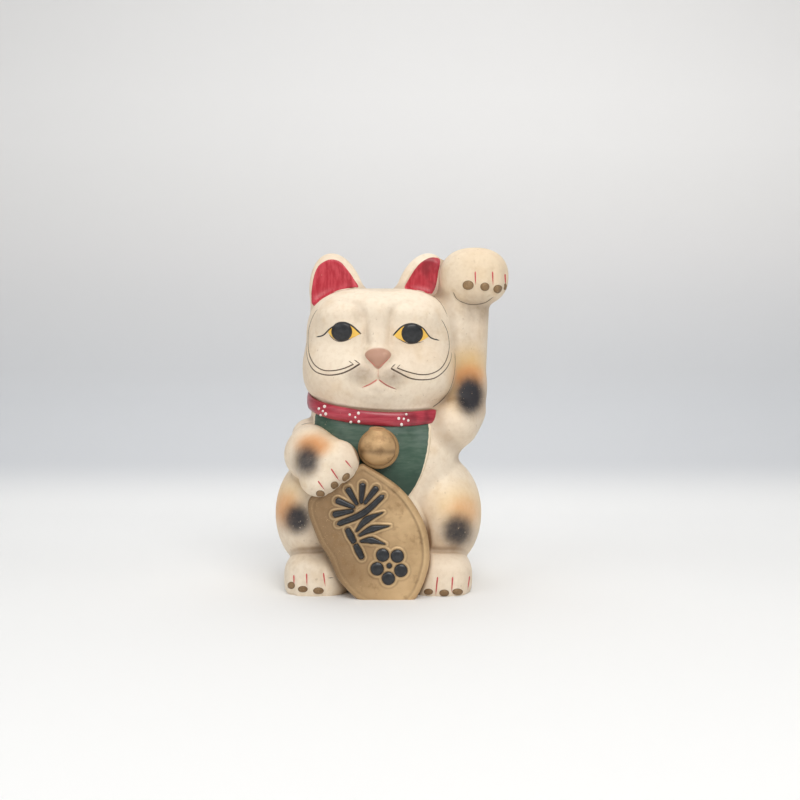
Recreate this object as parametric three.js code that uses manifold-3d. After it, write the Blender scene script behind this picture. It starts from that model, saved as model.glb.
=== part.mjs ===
// A lucky cat coin bank: a hollow painted clay figure, pressed in two halves and luted together,
// with the arms, the oval gold piece, the bell, the collar and the bib applied as separate castings.
// A clay floor slab closes the underside, and a rubber stopper pulls down out of it to let the coins out.
// Millimetres, +Z up, the cat faces -Y. The origin is the centre of the bounding box's underside.
import * as THREE from 'three';
import { mergeVertices } from 'three/addons/utils/BufferGeometryUtils.js';
import Module from 'manifold-3d';

const wasm = await Module();
wasm.setup();

// Casting
const wall = 5; // thickness of the clay shell
const joint = 0.3; // slip joint between two castings
const seamY = 3; // plane where the front and rear halves meet

// Head
const headShift = 1.2; // how far the head sits towards the raised arm
const headWidth = 96;
const headDepth = 84;
const headHeight = 70;
const headBase = 123; // height of the skull's underside, behind the chin
const headForward = 2;
const cheekSpread = 24;
const cheekWidth = 52;
const cheekDepth = 70;
const cheekHeight = 48;
const cheekForward = 10;
const cheekRise = 16; // height of the cheeks' centre above the skull's underside, as for the next rises
const jawSize = [76, 64, 44];
const jawForward = 15;
const jawDrop = 12; // how far the jaw's centre lies below the cheeks'
const noseWidth = 15;
const noseDepth = 13;
const noseHeight = 10;
const noseForward = 45;
const noseRise = 24;
const muzzleSize = [42, 24, 24];
const muzzleForward = 38;
const muzzleDrop = 11; // how far the muzzle's centre lies below the nose's
const bridgeSize = [16, 18, 40];
const bridgeForward = 39;
const bridgeRise = 12; // how far the bridge's centre lies above the nose's
const browSize = [36, 20, 14];
const browSpread = 17;
const browForward = 36;
const browRise = 51;

// Ears
const earSpread = 29;
const earWidth = 35.2;
const earThickness = 15;
const earHeight = 63; // the whole leaf, whose lower half stands in the skull
const earStand = 25.5; // how far an upright leaf's tip stands above the skull
const earLean = 12; // degrees that an ear leans outwards
const earSetBack = 3;
const earRim = 2.4; // width of the rim round the hollow
const earHollow = 5; // depth of the hollow

// Neck, torso, haunches and feet
const neckWidth = 88;
const neckDepth = 83;
const neckHeight = 60;
const chestWidth = 90;
const chestDepth = 80;
const chestHeight = 68;
const chestForward = 1;
const chestCentreHeight = 94;
const bellyWidth = 94;
const bellyDepth = 84;
const bellyHeight = 92;
const bellyForward = 4;
const bellyCentreHeight = 66;
const rumpWidth = 116;
const rumpDepth = 92;
const rumpHeight = 92;
const rumpSetBack = 8;
const rumpCentreHeight = 30;
const flankSize = [42, 58, 58]; // the fullness of the side under the raised arm
const flankSpread = 31;
const flankForward = 8;
const flankCentreHeight = 84;
const haunchSpread = 42;
const haunchWidth = 53;
const haunchDepth = 80;
const haunchHeight = 74;
const haunchForward = 4;
const haunchCentreHeight = 46;
const footSpread = 39.5;
const footShift = 1; // how far the feet stand towards the raised arm
const footWidth = 39.5;
const footLength = 48;
const footHeight = 25;
const footCentreForward = 29.5;
const tailLength = 32;
const tailThickness = 17;
const tailSetBack = 49;

// Raised arm
const raisedArmSpread = 56;
const raisedArmSetBack = 3;
const forearmRadius = 16.8;
const wristRadius = 17.2;
const elbowHeight = 114;
const elbowRadius = 18;
const shoulderSize = [34, 60, 34];
const shoulderDrop = 9; // how far the shoulder's centre lies below the elbow's
const pawWidth = 45;
const pawDepth = 42;
const pawHeight = 38;
const pawTopHeight = 220;
const pawOverhang = 11; // how far the paw's centre lies in front of the forearm's

// Lowered arm
const loweredShoulder = [-45, -8, 97.5];
const loweredElbow = [-41, -28, 85.5];
const loweredPawInside = [-23.3, -54.1, 83.2]; // the end of the paw at the bell
const loweredPawOutside = [-34.4, -54.1, 73.2];
const loweredShoulderRadius = 13;
const loweredElbowRadius = 17.3;
const loweredWristRadius = 11;
const loweredPawRadius = 12.5;

// Koban, the oval gold coin. Its edge is given as radii round its middle, clockwise from the top.
const kobanMiddle = [-4, 38];
const kobanRadii = [41.5, 35.2, 34.9, 37, 41.8, 48, 41.7, 33.2, 27.5, 30.8, 42.3, 38.8];
const kobanTilt = 32; // degrees that its long axis leans towards the lowered paw
const kobanLean = 4; // degrees that its face leans back
const kobanFaceForward = 61.5; // distance of its face's foot in front of the origin
const kobanEdge = 3; // rounding of the front edge
const reliefHeight = 1.4;
const strokeWidth = 4.2; // of the pine and the bamboo's stem
const leafWidth = 4.6;
const petalRadius = 4.1;
const petalReach = 7.5; // distance of the petals from the plum's heart
const plumHeartRadius = 1.7;

// Collar, bib and bell
const collarWidth = 9.6;
const collarThickness = 3;
const collarDrop = 15; // how far the band's middle at the throat lies below the skull's underside
const collarTilt = 13; // degrees that the band rises towards the nape
const collarRoll = 5; // degrees that the band drops towards the raised arm
const bibWidth = 76;
const bibShift = 3.7; // how far it lies towards the lowered arm
const bibDrop = 63; // length from the collar's middle to the bib's point
const bibThickness = 1.6;
const bellRadius = 11.7;
const bellBulge = 7.5;
const bellRimWidth = 1.4;
const bellCentreHeight = 91.2;
const bellNeckWidth = 8;

// Coin slot, floor slab and stopper
const slotLength = 36;
const slotWidth = 5;
const slotHeight = 99;
const slabRecess = 4.5; // height of the slab's underside above the table
const slabThickness = 5;
const stopperRadius = 16;
const stopperFit = 0.1; // radial clearance of the stopper in its hole
const stopperFlangeWidth = 4;
const stopperFlangeThickness = 2.6;
const stopperSeat = 0.1; // clearance between the flange and the slab
const stopperLength = 9; // length of the plug above the flange
const stopperWall = 3;

// Mesh fineness
const figureSegments = 46;
const figureRings = 18;
const figureFans = 11;
const cavitySegments = 28;
const cavityRings = 10;
const cavityFans = 6;

const degrees = Math.PI / 180;
const headCentreHeight = headBase + headHeight / 2;
const cheekCentreHeight = headBase + cheekRise;
const noseCentreHeight = headBase + noseRise;
const browCentreHeight = headBase + browRise;
const earTipHeight = headBase + headHeight + earStand;
const earCentreHeight = earTipHeight - earHeight / 2;
const collarFrontHeight = headBase - collarDrop;

// Materials
function clayPaint(color, roughness, metalness = 0) {
  return new THREE.MeshStandardMaterial({ color, roughness, metalness });
}
const creamPaint = clayPaint(0xe4d6bf, 0.62);
const redPaint = clayPaint(0xa32a3a, 0.45);
const greenPaint = clayPaint(0x2f5240, 0.5);
const goldPaint = clayPaint(0xa8875a, 0.42, 0.35);
const bareClay = clayPaint(0xb9a58c, 0.85);
const rubber = clayPaint(0x2a2a2c, 0.8);

// A clay form is a rounded block: an ellipsoid whose power makes it squarer. A field is a list of such forms
// pressed together, and its value at a point is close to the distance from the clay's surface.
function form(centre, size, { power = 2, blend = 0, turn = 0 } = {}) {
  const [x, y, z] = centre;
  return { x, y, z, a: size[0] / 2, b: size[1] / 2, c: size[2] / 2, power, blend, turn: turn * degrees };
}

function formDistance(f, x, y, z) {
  let dx = x - f.x;
  let dz = z - f.z;
  if (f.turn !== 0) {
    const c = Math.cos(f.turn);
    const s = Math.sin(f.turn);
    [dx, dz] = [dx * c - dz * s, dx * s + dz * c];
  }
  const u = Math.abs(dx) / f.a;
  const v = Math.abs(y - f.y) / f.b;
  const w = Math.abs(dz) / f.c;
  const n = f.power;
  const reach = Math.max((u ** n + v ** n + w ** n) ** (1 / n), 1e-6);
  const slope = Math.hypot(u ** (n - 1) / f.a, v ** (n - 1) / f.b, w ** (n - 1) / f.c);
  return ((reach - 1) * reach ** (n - 1)) / Math.max(slope, 1e-9);
}

// A limb is a bone with a radius at each end.
function limb(from, to, fromRadius, toRadius, blend = 0) {
  return { from, to, fromRadius, toRadius, blend, isLimb: true };
}

function limbDistance(f, x, y, z) {
  const bone = f.to.map((end, i) => end - f.from[i]);
  const offset = [x - f.from[0], y - f.from[1], z - f.from[2]];
  const squared = bone[0] ** 2 + bone[1] ** 2 + bone[2] ** 2;
  const along = offset[0] * bone[0] + offset[1] * bone[1] + offset[2] * bone[2];
  const t = Math.min(1, Math.max(0, along / squared));
  const away = Math.hypot(offset[0] - bone[0] * t, offset[1] - bone[1] * t, offset[2] - bone[2] * t);
  return away - f.fromRadius - (f.toRadius - f.fromRadius) * t;
}

function smoothUnion(a, b, blend) {
  if (blend === 0) return Math.min(a, b);
  const h = Math.max(blend - Math.abs(a - b), 0) / blend;
  return Math.min(a, b) - (h * h * blend) / 4;
}

function fieldOf(forms) {
  return (x, y, z) => {
    let d = Infinity;
    for (const f of forms) {
      const next = f.isLimb ? limbDistance(f, x, y, z) : formDistance(f, x, y, z);
      d = d === Infinity ? next : smoothUnion(d, next, f.blend);
    }
    return d;
  };
}

// The collar lies round the neck along a plane that rises towards the nape.
const collarSlope = Math.tan(collarTilt * degrees);
const throatY = -neckDepth / 2 - 1;
function collarMiddle(y) {
  return collarFrontHeight + (y - throatY) * collarSlope;
}
const neckCentre = [0, -chestForward, collarMiddle(0)];
const neckForm = form(neckCentre, [neckWidth, neckDepth, neckHeight], { power: 2.2, blend: 8 });

// The figure's body: torso, haunches and head
function bodyForms() {
  const rump = [0, rumpSetBack, rumpCentreHeight];
  const belly = [0, -bellyForward, bellyCentreHeight];
  const chest = [0, -chestForward, chestCentreHeight];
  const forms = [
    form(rump, [rumpWidth, rumpDepth, rumpHeight], { power: 2.4 }),
    form(belly, [bellyWidth, bellyDepth, bellyHeight], { blend: 12 }),
    form(chest, [chestWidth, chestDepth, chestHeight], { power: 2.2, blend: 12 }),
    neckForm,
    form([flankSpread, -flankForward, flankCentreHeight], flankSize, { blend: 8 }),
  ];
  for (const side of [-1, 1]) {
    const haunchSize = [haunchWidth, haunchDepth, haunchHeight];
    const haunch = [side * haunchSpread, -haunchForward, haunchCentreHeight];
    forms.push(form(haunch, haunchSize, { blend: 5 }));
  }
  const skullSize = [headWidth, headDepth, headHeight];
  forms.push(
    form([headShift, -headForward, headCentreHeight], skullSize, { power: 3, blend: 3 }),
    form([headShift, -jawForward, cheekCentreHeight - jawDrop], jawSize, { power: 2.2, blend: 5 }),
  );
  for (const side of [-1, 1]) {
    const cheekSize = [cheekWidth, cheekDepth, cheekHeight];
    const cheek = [headShift + side * cheekSpread, -cheekForward, cheekCentreHeight];
    forms.push(form(cheek, cheekSize, { power: 2.2, blend: 6 }));
    const brow = [headShift + side * browSpread, -browForward, browCentreHeight];
    forms.push(form(brow, browSize, { blend: 9, turn: side * 8 }));
  }
  forms.push(form([headShift, -muzzleForward, noseCentreHeight - muzzleDrop], muzzleSize, { blend: 9 }));
  forms.push(form([headShift, -bridgeForward, noseCentreHeight + bridgeRise], bridgeSize, { blend: 9 }));
  const noseSize = [noseWidth, noseDepth, noseHeight];
  forms.push(form([headShift, -noseForward, noseCentreHeight], noseSize, { blend: 4 }));
  return forms;
}
const bodyField = fieldOf(bodyForms());

// The raised arm's spine: shoulder inside the torso, elbow, wrist and paw
const pawCentre = [
  raisedArmSpread + 7.5,
  raisedArmSetBack - pawOverhang,
  pawTopHeight - pawHeight / 2,
];
const elbow = [raisedArmSpread - 1.5, raisedArmSetBack - 3, elbowHeight];
const midArm = [raisedArmSpread, raisedArmSetBack, elbowHeight + 15];
const wrist = [raisedArmSpread + 1.5, raisedArmSetBack - 2, pawCentre[2] - 14];
const raisedArmForms = [
  form([raisedArmSpread - 6, raisedArmSetBack - 9, elbowHeight - shoulderDrop], shoulderSize),
  limb(elbow, midArm, elbowRadius, forearmRadius, 5),
  limb(midArm, wrist, forearmRadius, wristRadius, 5),
  form(pawCentre, [pawWidth, pawDepth, pawHeight], { power: 2.3, blend: 4 }),
];
const loweredArmForms = [
  limb(loweredShoulder, loweredElbow, loweredShoulderRadius, loweredElbowRadius),
  limb(loweredElbow, loweredPawInside, loweredElbowRadius, loweredWristRadius, 4),
  limb(loweredElbow, loweredPawOutside, loweredElbowRadius, loweredWristRadius, 4),
  limb(loweredPawInside, loweredPawOutside, loweredPawRadius, loweredPawRadius, 4),
];

// Solids
function toSolid(geometry) {
  const bare = geometry.index ? geometry.toNonIndexed() : geometry.clone();
  for (const name of Object.keys(bare.attributes)) {
    if (name !== 'position') bare.deleteAttribute(name);
  }
  const merged = mergeVertices(bare, 1e-4);
  return new wasm.Manifold(
    new wasm.Mesh({
      numProp: 3,
      vertProperties: merged.attributes.position.array,
      triVerts: new Uint32Array(merged.index.array),
    }),
  );
}

function toGeometry(solid) {
  const mesh = solid.getMesh();
  const positions = new Float32Array(mesh.numVert * 3);
  for (let i = 0; i < mesh.numVert; i++) {
    const start = i * mesh.numProp;
    positions.set(mesh.vertProperties.subarray(start, start + 3), i * 3);
  }
  const geometry = new THREE.BufferGeometry();
  geometry.setAttribute('position', new THREE.BufferAttribute(positions, 3));
  geometry.setIndex(new THREE.BufferAttribute(new Uint32Array(mesh.triVerts), 1));
  geometry.computeVertexNormals();
  return geometry;
}

// Trimming can leave loose crumbs, and the casting is the largest piece.
function largestPiece(solid) {
  return solid.decompose().reduce((best, piece) => (piece.volume() > best.volume() ? piece : best));
}

function block(low, high) {
  const box = new THREE.BoxGeometry(high[0] - low[0], high[1] - low[1], high[2] - low[2]);
  box.translate((low[0] + high[0]) / 2, (low[1] + high[1]) / 2, (low[2] + high[2]) / 2);
  return toSolid(box);
}
const far = 400;
const aboveTable = block([-far, -far, 0], [far, far, far]);
const frontSide = block([-far, -far, -far], [far, seamY, far]);
const rearSide = block([-far, seamY, -far], [far, far, far]);

// Wraps a closed skin round a field: a capsule's points slide along their rays until they lie at that level.
function wrapSkin(field, level, spine, { segments, rings, fans, crowdFront = 0 }) {
  const from = new THREE.Vector3(...spine[0]);
  const to = new THREE.Vector3(...spine[1]);
  const length = from.distanceTo(to);
  const capsule = new THREE.CapsuleGeometry(1, length, fans, segments, rings);
  const alongSpine = new THREE.Quaternion().setFromUnitVectors(
    new THREE.Vector3(0, 1, 0),
    to.clone().sub(from).normalize(),
  );
  const middle = from.clone().add(to).multiplyScalar(0.5);
  const position = capsule.attributes.position;
  const point = new THREE.Vector3();
  const origin = new THREE.Vector3();
  const direction = new THREE.Vector3();
  for (let i = 0; i < position.count; i++) {
    point.fromBufferAttribute(position, i);
    const along = Math.min(length / 2, Math.max(-length / 2, point.y));
    if (crowdFront !== 0) {
      // Crowds the rays towards the figure's face
      const angle = Math.atan2(point.x, -point.z);
      const crowded = angle - crowdFront * Math.sin(angle);
      const spread = Math.hypot(point.x, point.z);
      point.x = spread * Math.sin(crowded);
      point.z = -spread * Math.cos(crowded);
    }
    origin.set(0, along, 0);
    direction.copy(point).sub(origin).normalize().applyQuaternion(alongSpine);
    origin.applyQuaternion(alongSpine).add(middle);
    let reach = 150;
    for (let step = 0; step < 160; step++) {
      const x = origin.x + direction.x * reach;
      const y = origin.y + direction.y * reach;
      const z = origin.z + direction.z * reach;
      const gap = field(x, y, z) - level;
      if (Math.abs(gap) < 0.005) break;
      reach -= gap * 0.8;
    }
    point.copy(origin).addScaledVector(direction, reach);
    position.setXYZ(i, point.x, point.y, point.z);
  }
  return toSolid(capsule);
}

// The spine of the figure ends inside the skull. Its capsule is stood with the front rays first.
const figureSpine = [[0, 0, 6], [0, 0, headCentreHeight - 8]];
const figureMesh = { segments: figureSegments, rings: figureRings, fans: figureFans, crowdFront: -0.3 };
const cavityMesh = { segments: cavitySegments, rings: cavityRings, fans: cavityFans };
function bodySkin(level) {
  return wrapSkin(bodyField, level, figureSpine, figureMesh).intersect(aboveTable);
}

// The hollow runs straight down from the slab's top, so that the casting is open underneath.
const slabTop = slabRecess + slabThickness;
function hollowSkin(level) {
  const cellar = -10;
  const openField = (x, y, z) => Math.max(bodyField(x, y, Math.max(z, slabTop)), cellar - z + level);
  return wrapSkin(openField, level, figureSpine, cavityMesh);
}

// Feet: squarish blocks whose soles the table cuts flat
function footSkin(side, level) {
  const depth = footHeight * 1.3;
  const centre = [footShift + side * footSpread, -footCentreForward, footHeight - depth / 2];
  const field = fieldOf([form(centre, [footWidth, footLength, depth], { power: 2.8 })]);
  const spine = [[centre[0], centre[1], 4], [centre[0], centre[1], centre[2] + 4]];
  return wrapSkin(field, level, spine, { segments: 20, rings: 2, fans: 4 }).intersect(aboveTable);
}

// Tail: a short stub laid round the rump
function tailSkin(level) {
  const from = [-tailLength * 0.3, tailSetBack, tailThickness * 0.6];
  const to = [tailLength * 0.55, tailSetBack - 1, tailThickness * 0.7];
  const field = fieldOf([limb(from, to, (tailThickness / 2) * 0.9, tailThickness / 2)]);
  return wrapSkin(field, level, [from, to], { segments: 14, rings: 2, fans: 4 }).intersect(aboveTable);
}

// Ears: rounded leaves with a hollow front, standing on the skull
function earSkin(side, level) {
  const turn = side * earLean;
  const middle = headShift + side * earSpread;
  const leafCentre = [middle, earSetBack, earCentreHeight];
  const leaf = form(leafCentre, [earWidth, earThickness, earHeight], { turn });
  const hollowSize = [earWidth - earRim * 1.5, earHollow * 2.4, earHeight - earRim * 2];
  const hollowCentre = [middle + side * 0.7, earSetBack - earThickness / 2 + 0.6, earCentreHeight - 1];
  const hollow = form(hollowCentre, hollowSize, { turn });
  const field = (x, y, z) => -smoothUnion(-formDistance(leaf, x, y, z), formDistance(hollow, x, y, z), 1.5);
  const upright = Math.tan(turn * degrees);
  const low = -8;
  const high = earHeight / 2 - 15;
  const spine = [
    [middle + low * upright, earSetBack + 2, earCentreHeight + low],
    [middle + high * upright, earSetBack + 1.5, earCentreHeight + high],
  ];
  return wrapSkin(field, level, spine, { segments: 20, rings: 4, fans: 5 });
}

function figureOutside(level) {
  let outside = bodySkin(level).add(tailSkin(level));
  for (const side of [-1, 1]) outside = outside.add(footSkin(side, level)).add(earSkin(side, level));
  return outside;
}
const outside = figureOutside(0);
const outsideWithJoint = figureOutside(joint);
const hollow = hollowSkin(-wall);

// The slot is cut across the back, between the shoulders.
const slot = block(
  [-slotLength / 2, seamY + 1, slotHeight - slotWidth / 2],
  [slotLength / 2, far, slotHeight + slotWidth / 2],
);
const shell = outside.subtract(hollow).subtract(slot);
const frontCasting = largestPiece(shell.intersect(frontSide));
const rearCasting = largestPiece(shell.intersect(rearSide));

// Floor slab, with a hole for the stopper
function ring(radius, bottom, top, segments = 40) {
  const profile = [[0, bottom], [radius, bottom], [radius, top], [0, top]];
  const disc = new THREE.LatheGeometry(profile.map(([r, z]) => new THREE.Vector2(r, z)), segments);
  return toSolid(disc.rotateX(Math.PI / 2));
}
const slabLayer = block([-far, -far, slabRecess], [far, far, slabTop]);
const slabHole = ring(stopperRadius, slabRecess - 1, slabTop + 1);
const floorSlab = largestPiece(hollowSkin(-wall - joint).intersect(slabLayer).subtract(slabHole));

// Stopper: a hollow plug with a flange that lies under the slab
function stopperSolid() {
  const plug = stopperRadius - stopperFit;
  const flange = stopperRadius + stopperFlangeWidth;
  const top = slabRecess - stopperSeat + stopperLength;
  const flangeTop = slabRecess - stopperSeat;
  const flangeBottom = flangeTop - stopperFlangeThickness;
  const chamfer = 1.2;
  const bore = plug - stopperWall;
  const profile = [
    [0, top - stopperWall],
    [bore, top - stopperWall],
    [bore, flangeBottom],
    [flange - chamfer, flangeBottom],
    [flange, flangeBottom + chamfer / 2],
    [flange, flangeTop],
    [plug, flangeTop],
    [plug, top - chamfer],
    [plug - chamfer, top],
    [0, top],
  ];
  const lathe = new THREE.LatheGeometry(profile.map(([r, z]) => new THREE.Vector2(r, z)), 40);
  return toSolid(lathe.rotateX(Math.PI / 2));
}

// Collar: a band of the skin between two tilted planes round the neck
function tiltedLayer(below, above) {
  const layer = new THREE.BoxGeometry(far, far, below + above);
  layer.translate(0, 0, (above - below) / 2);
  layer.rotateX(collarTilt * degrees).rotateY(collarRoll * degrees);
  layer.translate(0, 0, collarMiddle(0));
  return toSolid(layer);
}
const neckSpine = [[0, 0, collarMiddle(0) - 12], [0, 0, collarMiddle(0) + 12]];
function collarSolid(grow) {
  const mesh = { segments: 44, rings: 4, fans: 5 };
  const band = wrapSkin(fieldOf([neckForm]), collarThickness + grow, neckSpine, mesh);
  return band.intersect(tiltedLayer(collarWidth / 2 + grow, collarWidth / 2 + grow));
}
const collar = largestPiece(collarSolid(0).subtract(outsideWithJoint));

// Bib: a shield-shaped sheet over the chest, hanging from the collar
function bibOutline(grow) {
  const half = bibWidth / 2 + grow;
  const top = collarMiddle(throatY) + collarWidth;
  const point = collarMiddle(throatY) - bibDrop - grow;
  const shield = new THREE.Shape();
  const shoulderHeight = top - bibDrop * 0.62;
  const flankHeight = top - bibDrop * 0.94;
  shield.moveTo(-half, top);
  shield.bezierCurveTo(-half, shoulderHeight, -half * 0.77, flankHeight, 0, point);
  shield.bezierCurveTo(half * 0.77, flankHeight, half, shoulderHeight, half, top);
  shield.closePath();
  const sheet = new THREE.ExtrudeGeometry(shield, { depth: far / 4, bevelEnabled: false, curveSegments: 8 });
  return toSolid(sheet.rotateX(Math.PI / 2).translate(-bibShift, 0, 0));
}
function bibSolid(grow) {
  const layer = tiltedLayer(far / 4, -collarWidth / 2 - joint + grow);
  return bodySkin(bibThickness + grow).intersect(bibOutline(grow)).intersect(layer);
}
const bib = largestPiece(bibSolid(0).subtract(outsideWithJoint));

// What the applied castings are trimmed by, so that each one seats on what lies under it
const collarAndBib = collarSolid(joint).add(bibSolid(joint));
const dressed = outsideWithJoint.add(collarAndBib);

// Bell: a round drop with a rim and a short neck, flat behind
function bellSolid(grow) {
  const rim = bellRadius + bellRimWidth + grow;
  const face = -throatY + 7 + grow; // distance of the rim's face in front of the figure's middle plane
  const points = [new THREE.Vector2(0, 0), new THREE.Vector2(rim, 0), new THREE.Vector2(rim, face - 1.5)];
  points.push(new THREE.Vector2(rim - bellRimWidth / 2, face), new THREE.Vector2(bellRadius, face - 0.3));
  const steps = 6;
  for (let i = 0; i <= steps; i++) {
    const angle = (i / steps) * (Math.PI / 2);
    const radius = i === steps ? 0 : bellRadius * Math.cos(angle);
    points.push(new THREE.Vector2(radius, face - 0.6 + bellBulge * Math.sin(angle)));
  }
  const drop = new THREE.LatheGeometry(points, 28).rotateX(Math.PI);
  drop.translate(0, 0, bellCentreHeight);
  const neckTop = collarMiddle(throatY) - collarWidth / 2 - joint * 2 + grow;
  const neck = block(
    [-bellNeckWidth / 2 - grow, -face, bellCentreHeight],
    [bellNeckWidth / 2 + grow, 0, Math.max(neckTop, bellCentreHeight + 1)],
  );
  return toSolid(drop).add(neck);
}
const bell = largestPiece(bellSolid(0).subtract(dressed));

// Koban: a thick oval plate with a rounded edge that stands on the table and leans back on the belly
const kobanTurn = kobanTilt * degrees;
function placeOnKoban(geometry) {
  // The geometry's face looks along +Z and its foot is at y = 0: it is stood up and leant back
  geometry.translate(0, 0, -kobanFaceForward).rotateX(Math.PI / 2 - kobanLean * degrees);
  geometry.translate(0, -kobanFaceForward, 0);
  return toSolid(geometry);
}
function kobanPlate(grow) {
  const edge = kobanEdge;
  const rim = kobanRadii.map((radius, i) => {
    const angle = (i / kobanRadii.length) * Math.PI * 2;
    const reach = radius - edge + grow;
    const [x, z] = kobanMiddle;
    return new THREE.Vector3(x + reach * Math.sin(angle), z + reach * Math.cos(angle), 0);
  });
  const curve = new THREE.CatmullRomCurve3(rim, true);
  const oval = new THREE.Shape(curve.getPoints(44).slice(1).map((p) => new THREE.Vector2(p.x, p.y)));
  const plate = new THREE.ExtrudeGeometry(oval, {
    depth: kobanFaceForward - edge + grow,
    bevelThickness: edge,
    bevelSize: edge,
    bevelSegments: 3,
  });
  return placeOnKoban(plate).intersect(aboveTable);
}

// A raised brush stroke on the gold piece's face: a flat bar along a curve. Its shape gives how wide it is at
// the start, the middle and the end, as shares of its width.
function strokeSolid(points, width, shape, grow) {
  const curve = new THREE.CatmullRomCurve3(points.map(([x, z]) => new THREE.Vector3(x, z, 0)));
  const steps = 4;
  const outline = [];
  const halfAt = (t) => {
    const [start, middle, end] = shape;
    const { lerp } = THREE.MathUtils;
    const share = t < 0.5 ? lerp(start, middle, t * 2) : lerp(middle, end, t * 2 - 1);
    return (width / 2) * share + grow;
  };
  const side = (t, sign) => {
    const at = curve.getPoint(t);
    const tangent = curve.getTangent(t).multiplyScalar(sign * halfAt(t));
    outline.push(new THREE.Vector2(at.x - tangent.y, at.y + tangent.x));
  };
  const cap = (t, direction) => {
    const at = curve.getPoint(t);
    const tangent = curve.getTangent(t).multiplyScalar(direction * halfAt(t));
    outline.push(new THREE.Vector2(at.x + tangent.x, at.y + tangent.y));
  };
  for (let i = 0; i <= steps; i++) side(i / steps, -1);
  cap(1, 1);
  for (let i = steps; i >= 0; i--) side(i / steps, 1);
  cap(0, -1);
  const depth = reliefHeight + 1 + grow;
  const bar = new THREE.ExtrudeGeometry(new THREE.Shape(outline), { depth, bevelEnabled: false });
  bar.rotateZ(kobanTurn).translate(kobanMiddle[0], kobanMiddle[1], kobanFaceForward - 1);
  return placeOnKoban(bar);
}

function discSolid(centre, radius, grow) {
  const depth = reliefHeight + 1 + grow;
  const disc = new THREE.CylinderGeometry(radius + grow, radius + grow, depth, 18).rotateX(Math.PI / 2);
  disc.translate(centre[0], centre[1], depth / 2).rotateZ(kobanTurn);
  disc.translate(kobanMiddle[0], kobanMiddle[1], kobanFaceForward - 1);
  return placeOnKoban(disc);
}

// The relief is a column of pine, bamboo and plum, in the plate's own axes
const pineMiddle = [4, 17];
const stemTop = [-9, 10];
const plumMiddle = [1, -21.5];
const brush = [0.8, 1, 0.8];
const leaf = [0.35, 1, 0.1];
const needle = [0.55, 0.8, 1];
function reliefSolids(grow) {
  const strokes = [];
  const [px, pz] = pineMiddle;
  for (let i = -2; i <= 2; i++) {
    const lean = i * 34 * degrees;
    const from = [px + 4.5 * Math.sin(lean), pz + 3 * Math.cos(lean)];
    const to = [px + 16 * Math.sin(lean), pz + 13.5 * Math.cos(lean)];
    strokes.push([[from, to], strokeWidth, needle]);
  }
  strokes.push([[[px - 16, pz - 1], [px, pz - 3.5], [px + 16, pz - 1]], strokeWidth, brush]);
  const [sx, sz] = stemTop;
  strokes.push([[[sx, sz], [sx - 0.5, sz - 8]], strokeWidth, brush]);
  strokes.push([[[sx - 0.7, sz - 10.6], [sx - 1.4, sz - 18.5]], strokeWidth, brush]);
  strokes.push([[[sx + 4, sz - 3.5], [sx + 13, sz - 1], [sx + 24, sz - 2.5]], leafWidth, leaf]);
  strokes.push([[[sx + 4, sz - 6.5], [sx + 13, sz - 7.4], [sx + 23, sz - 11.5]], leafWidth, leaf]);
  strokes.push([[[sx + 3, sz - 10], [sx + 9, sz - 13], [sx + 15, sz - 19.5]], leafWidth, leaf]);
  const solids = strokes.map(([points, width, shape]) => strokeSolid(points, width, shape, grow));
  solids.push(discSolid(plumMiddle, plumHeartRadius, grow));
  const petals = 5;
  for (let i = 0; i < petals; i++) {
    const lean = (i / petals) * Math.PI * 2;
    const at = [plumMiddle[0] + petalReach * Math.sin(lean), plumMiddle[1] + petalReach * Math.cos(lean)];
    solids.push(discSolid(at, petalRadius, grow));
  }
  return solids;
}
let koban = largestPiece(kobanPlate(0).subtract(dressed).subtract(bellSolid(joint)));
for (const stroke of reliefSolids(0)) koban = koban.add(stroke);

// Arms
const raisedSpine = [
  [raisedArmSpread - 2, raisedArmSetBack - 1, elbowHeight],
  [raisedArmSpread + 3, raisedArmSetBack - 4, pawCentre[2]],
];
const raisedArmSkin = wrapSkin(fieldOf(raisedArmForms), 0, raisedSpine, { segments: 22, rings: 10, fans: 6 });
const raisedArm = largestPiece(raisedArmSkin.subtract(dressed));

const loweredPawMiddle = loweredPawInside.map((value, i) => (value + loweredPawOutside[i]) / 2);
const loweredSpine = [loweredShoulder, loweredPawMiddle];
const loweredSkin = wrapSkin(fieldOf(loweredArmForms), 0, loweredSpine, { segments: 22, rings: 5, fans: 6 });
let plateWithJoint = kobanPlate(joint).add(bellSolid(joint));
for (const stroke of reliefSolids(joint)) plateWithJoint = plateWithJoint.add(stroke);
const loweredArm = largestPiece(loweredSkin.subtract(dressed).subtract(plateWithJoint));

// Assembly
const cat = new THREE.Group();
function addPiece(name, solid, material) {
  const mesh = new THREE.Mesh(toGeometry(solid), material);
  mesh.name = name;
  cat.add(mesh);
}
addPiece('front_casting', frontCasting, creamPaint);
addPiece('rear_casting', rearCasting, creamPaint);
addPiece('raised_arm', raisedArm, creamPaint);
addPiece('lowered_arm', loweredArm, creamPaint);
addPiece('koban_plaque', koban, goldPaint);
addPiece('bell', bell, goldPaint);
addPiece('collar', collar, redPaint);
addPiece('bib', bib, greenPaint);
addPiece('floor_slab', floorSlab, bareClay);
addPiece('stopper', stopperSolid(), rubber);

// The origin is the centre of the underside of the bounding box.
const bounds = new THREE.Box3().setFromObject(cat);
const centre = bounds.getCenter(new THREE.Vector3());
cat.position.set(-centre.x, -centre.y, -bounds.min.z);

export default cat;
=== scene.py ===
"""A lucky cat coin bank of painted clay: the looks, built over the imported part."""

import math

import bmesh
import bpy
import numpy as np
from mathutils import Matrix, Vector


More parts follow.
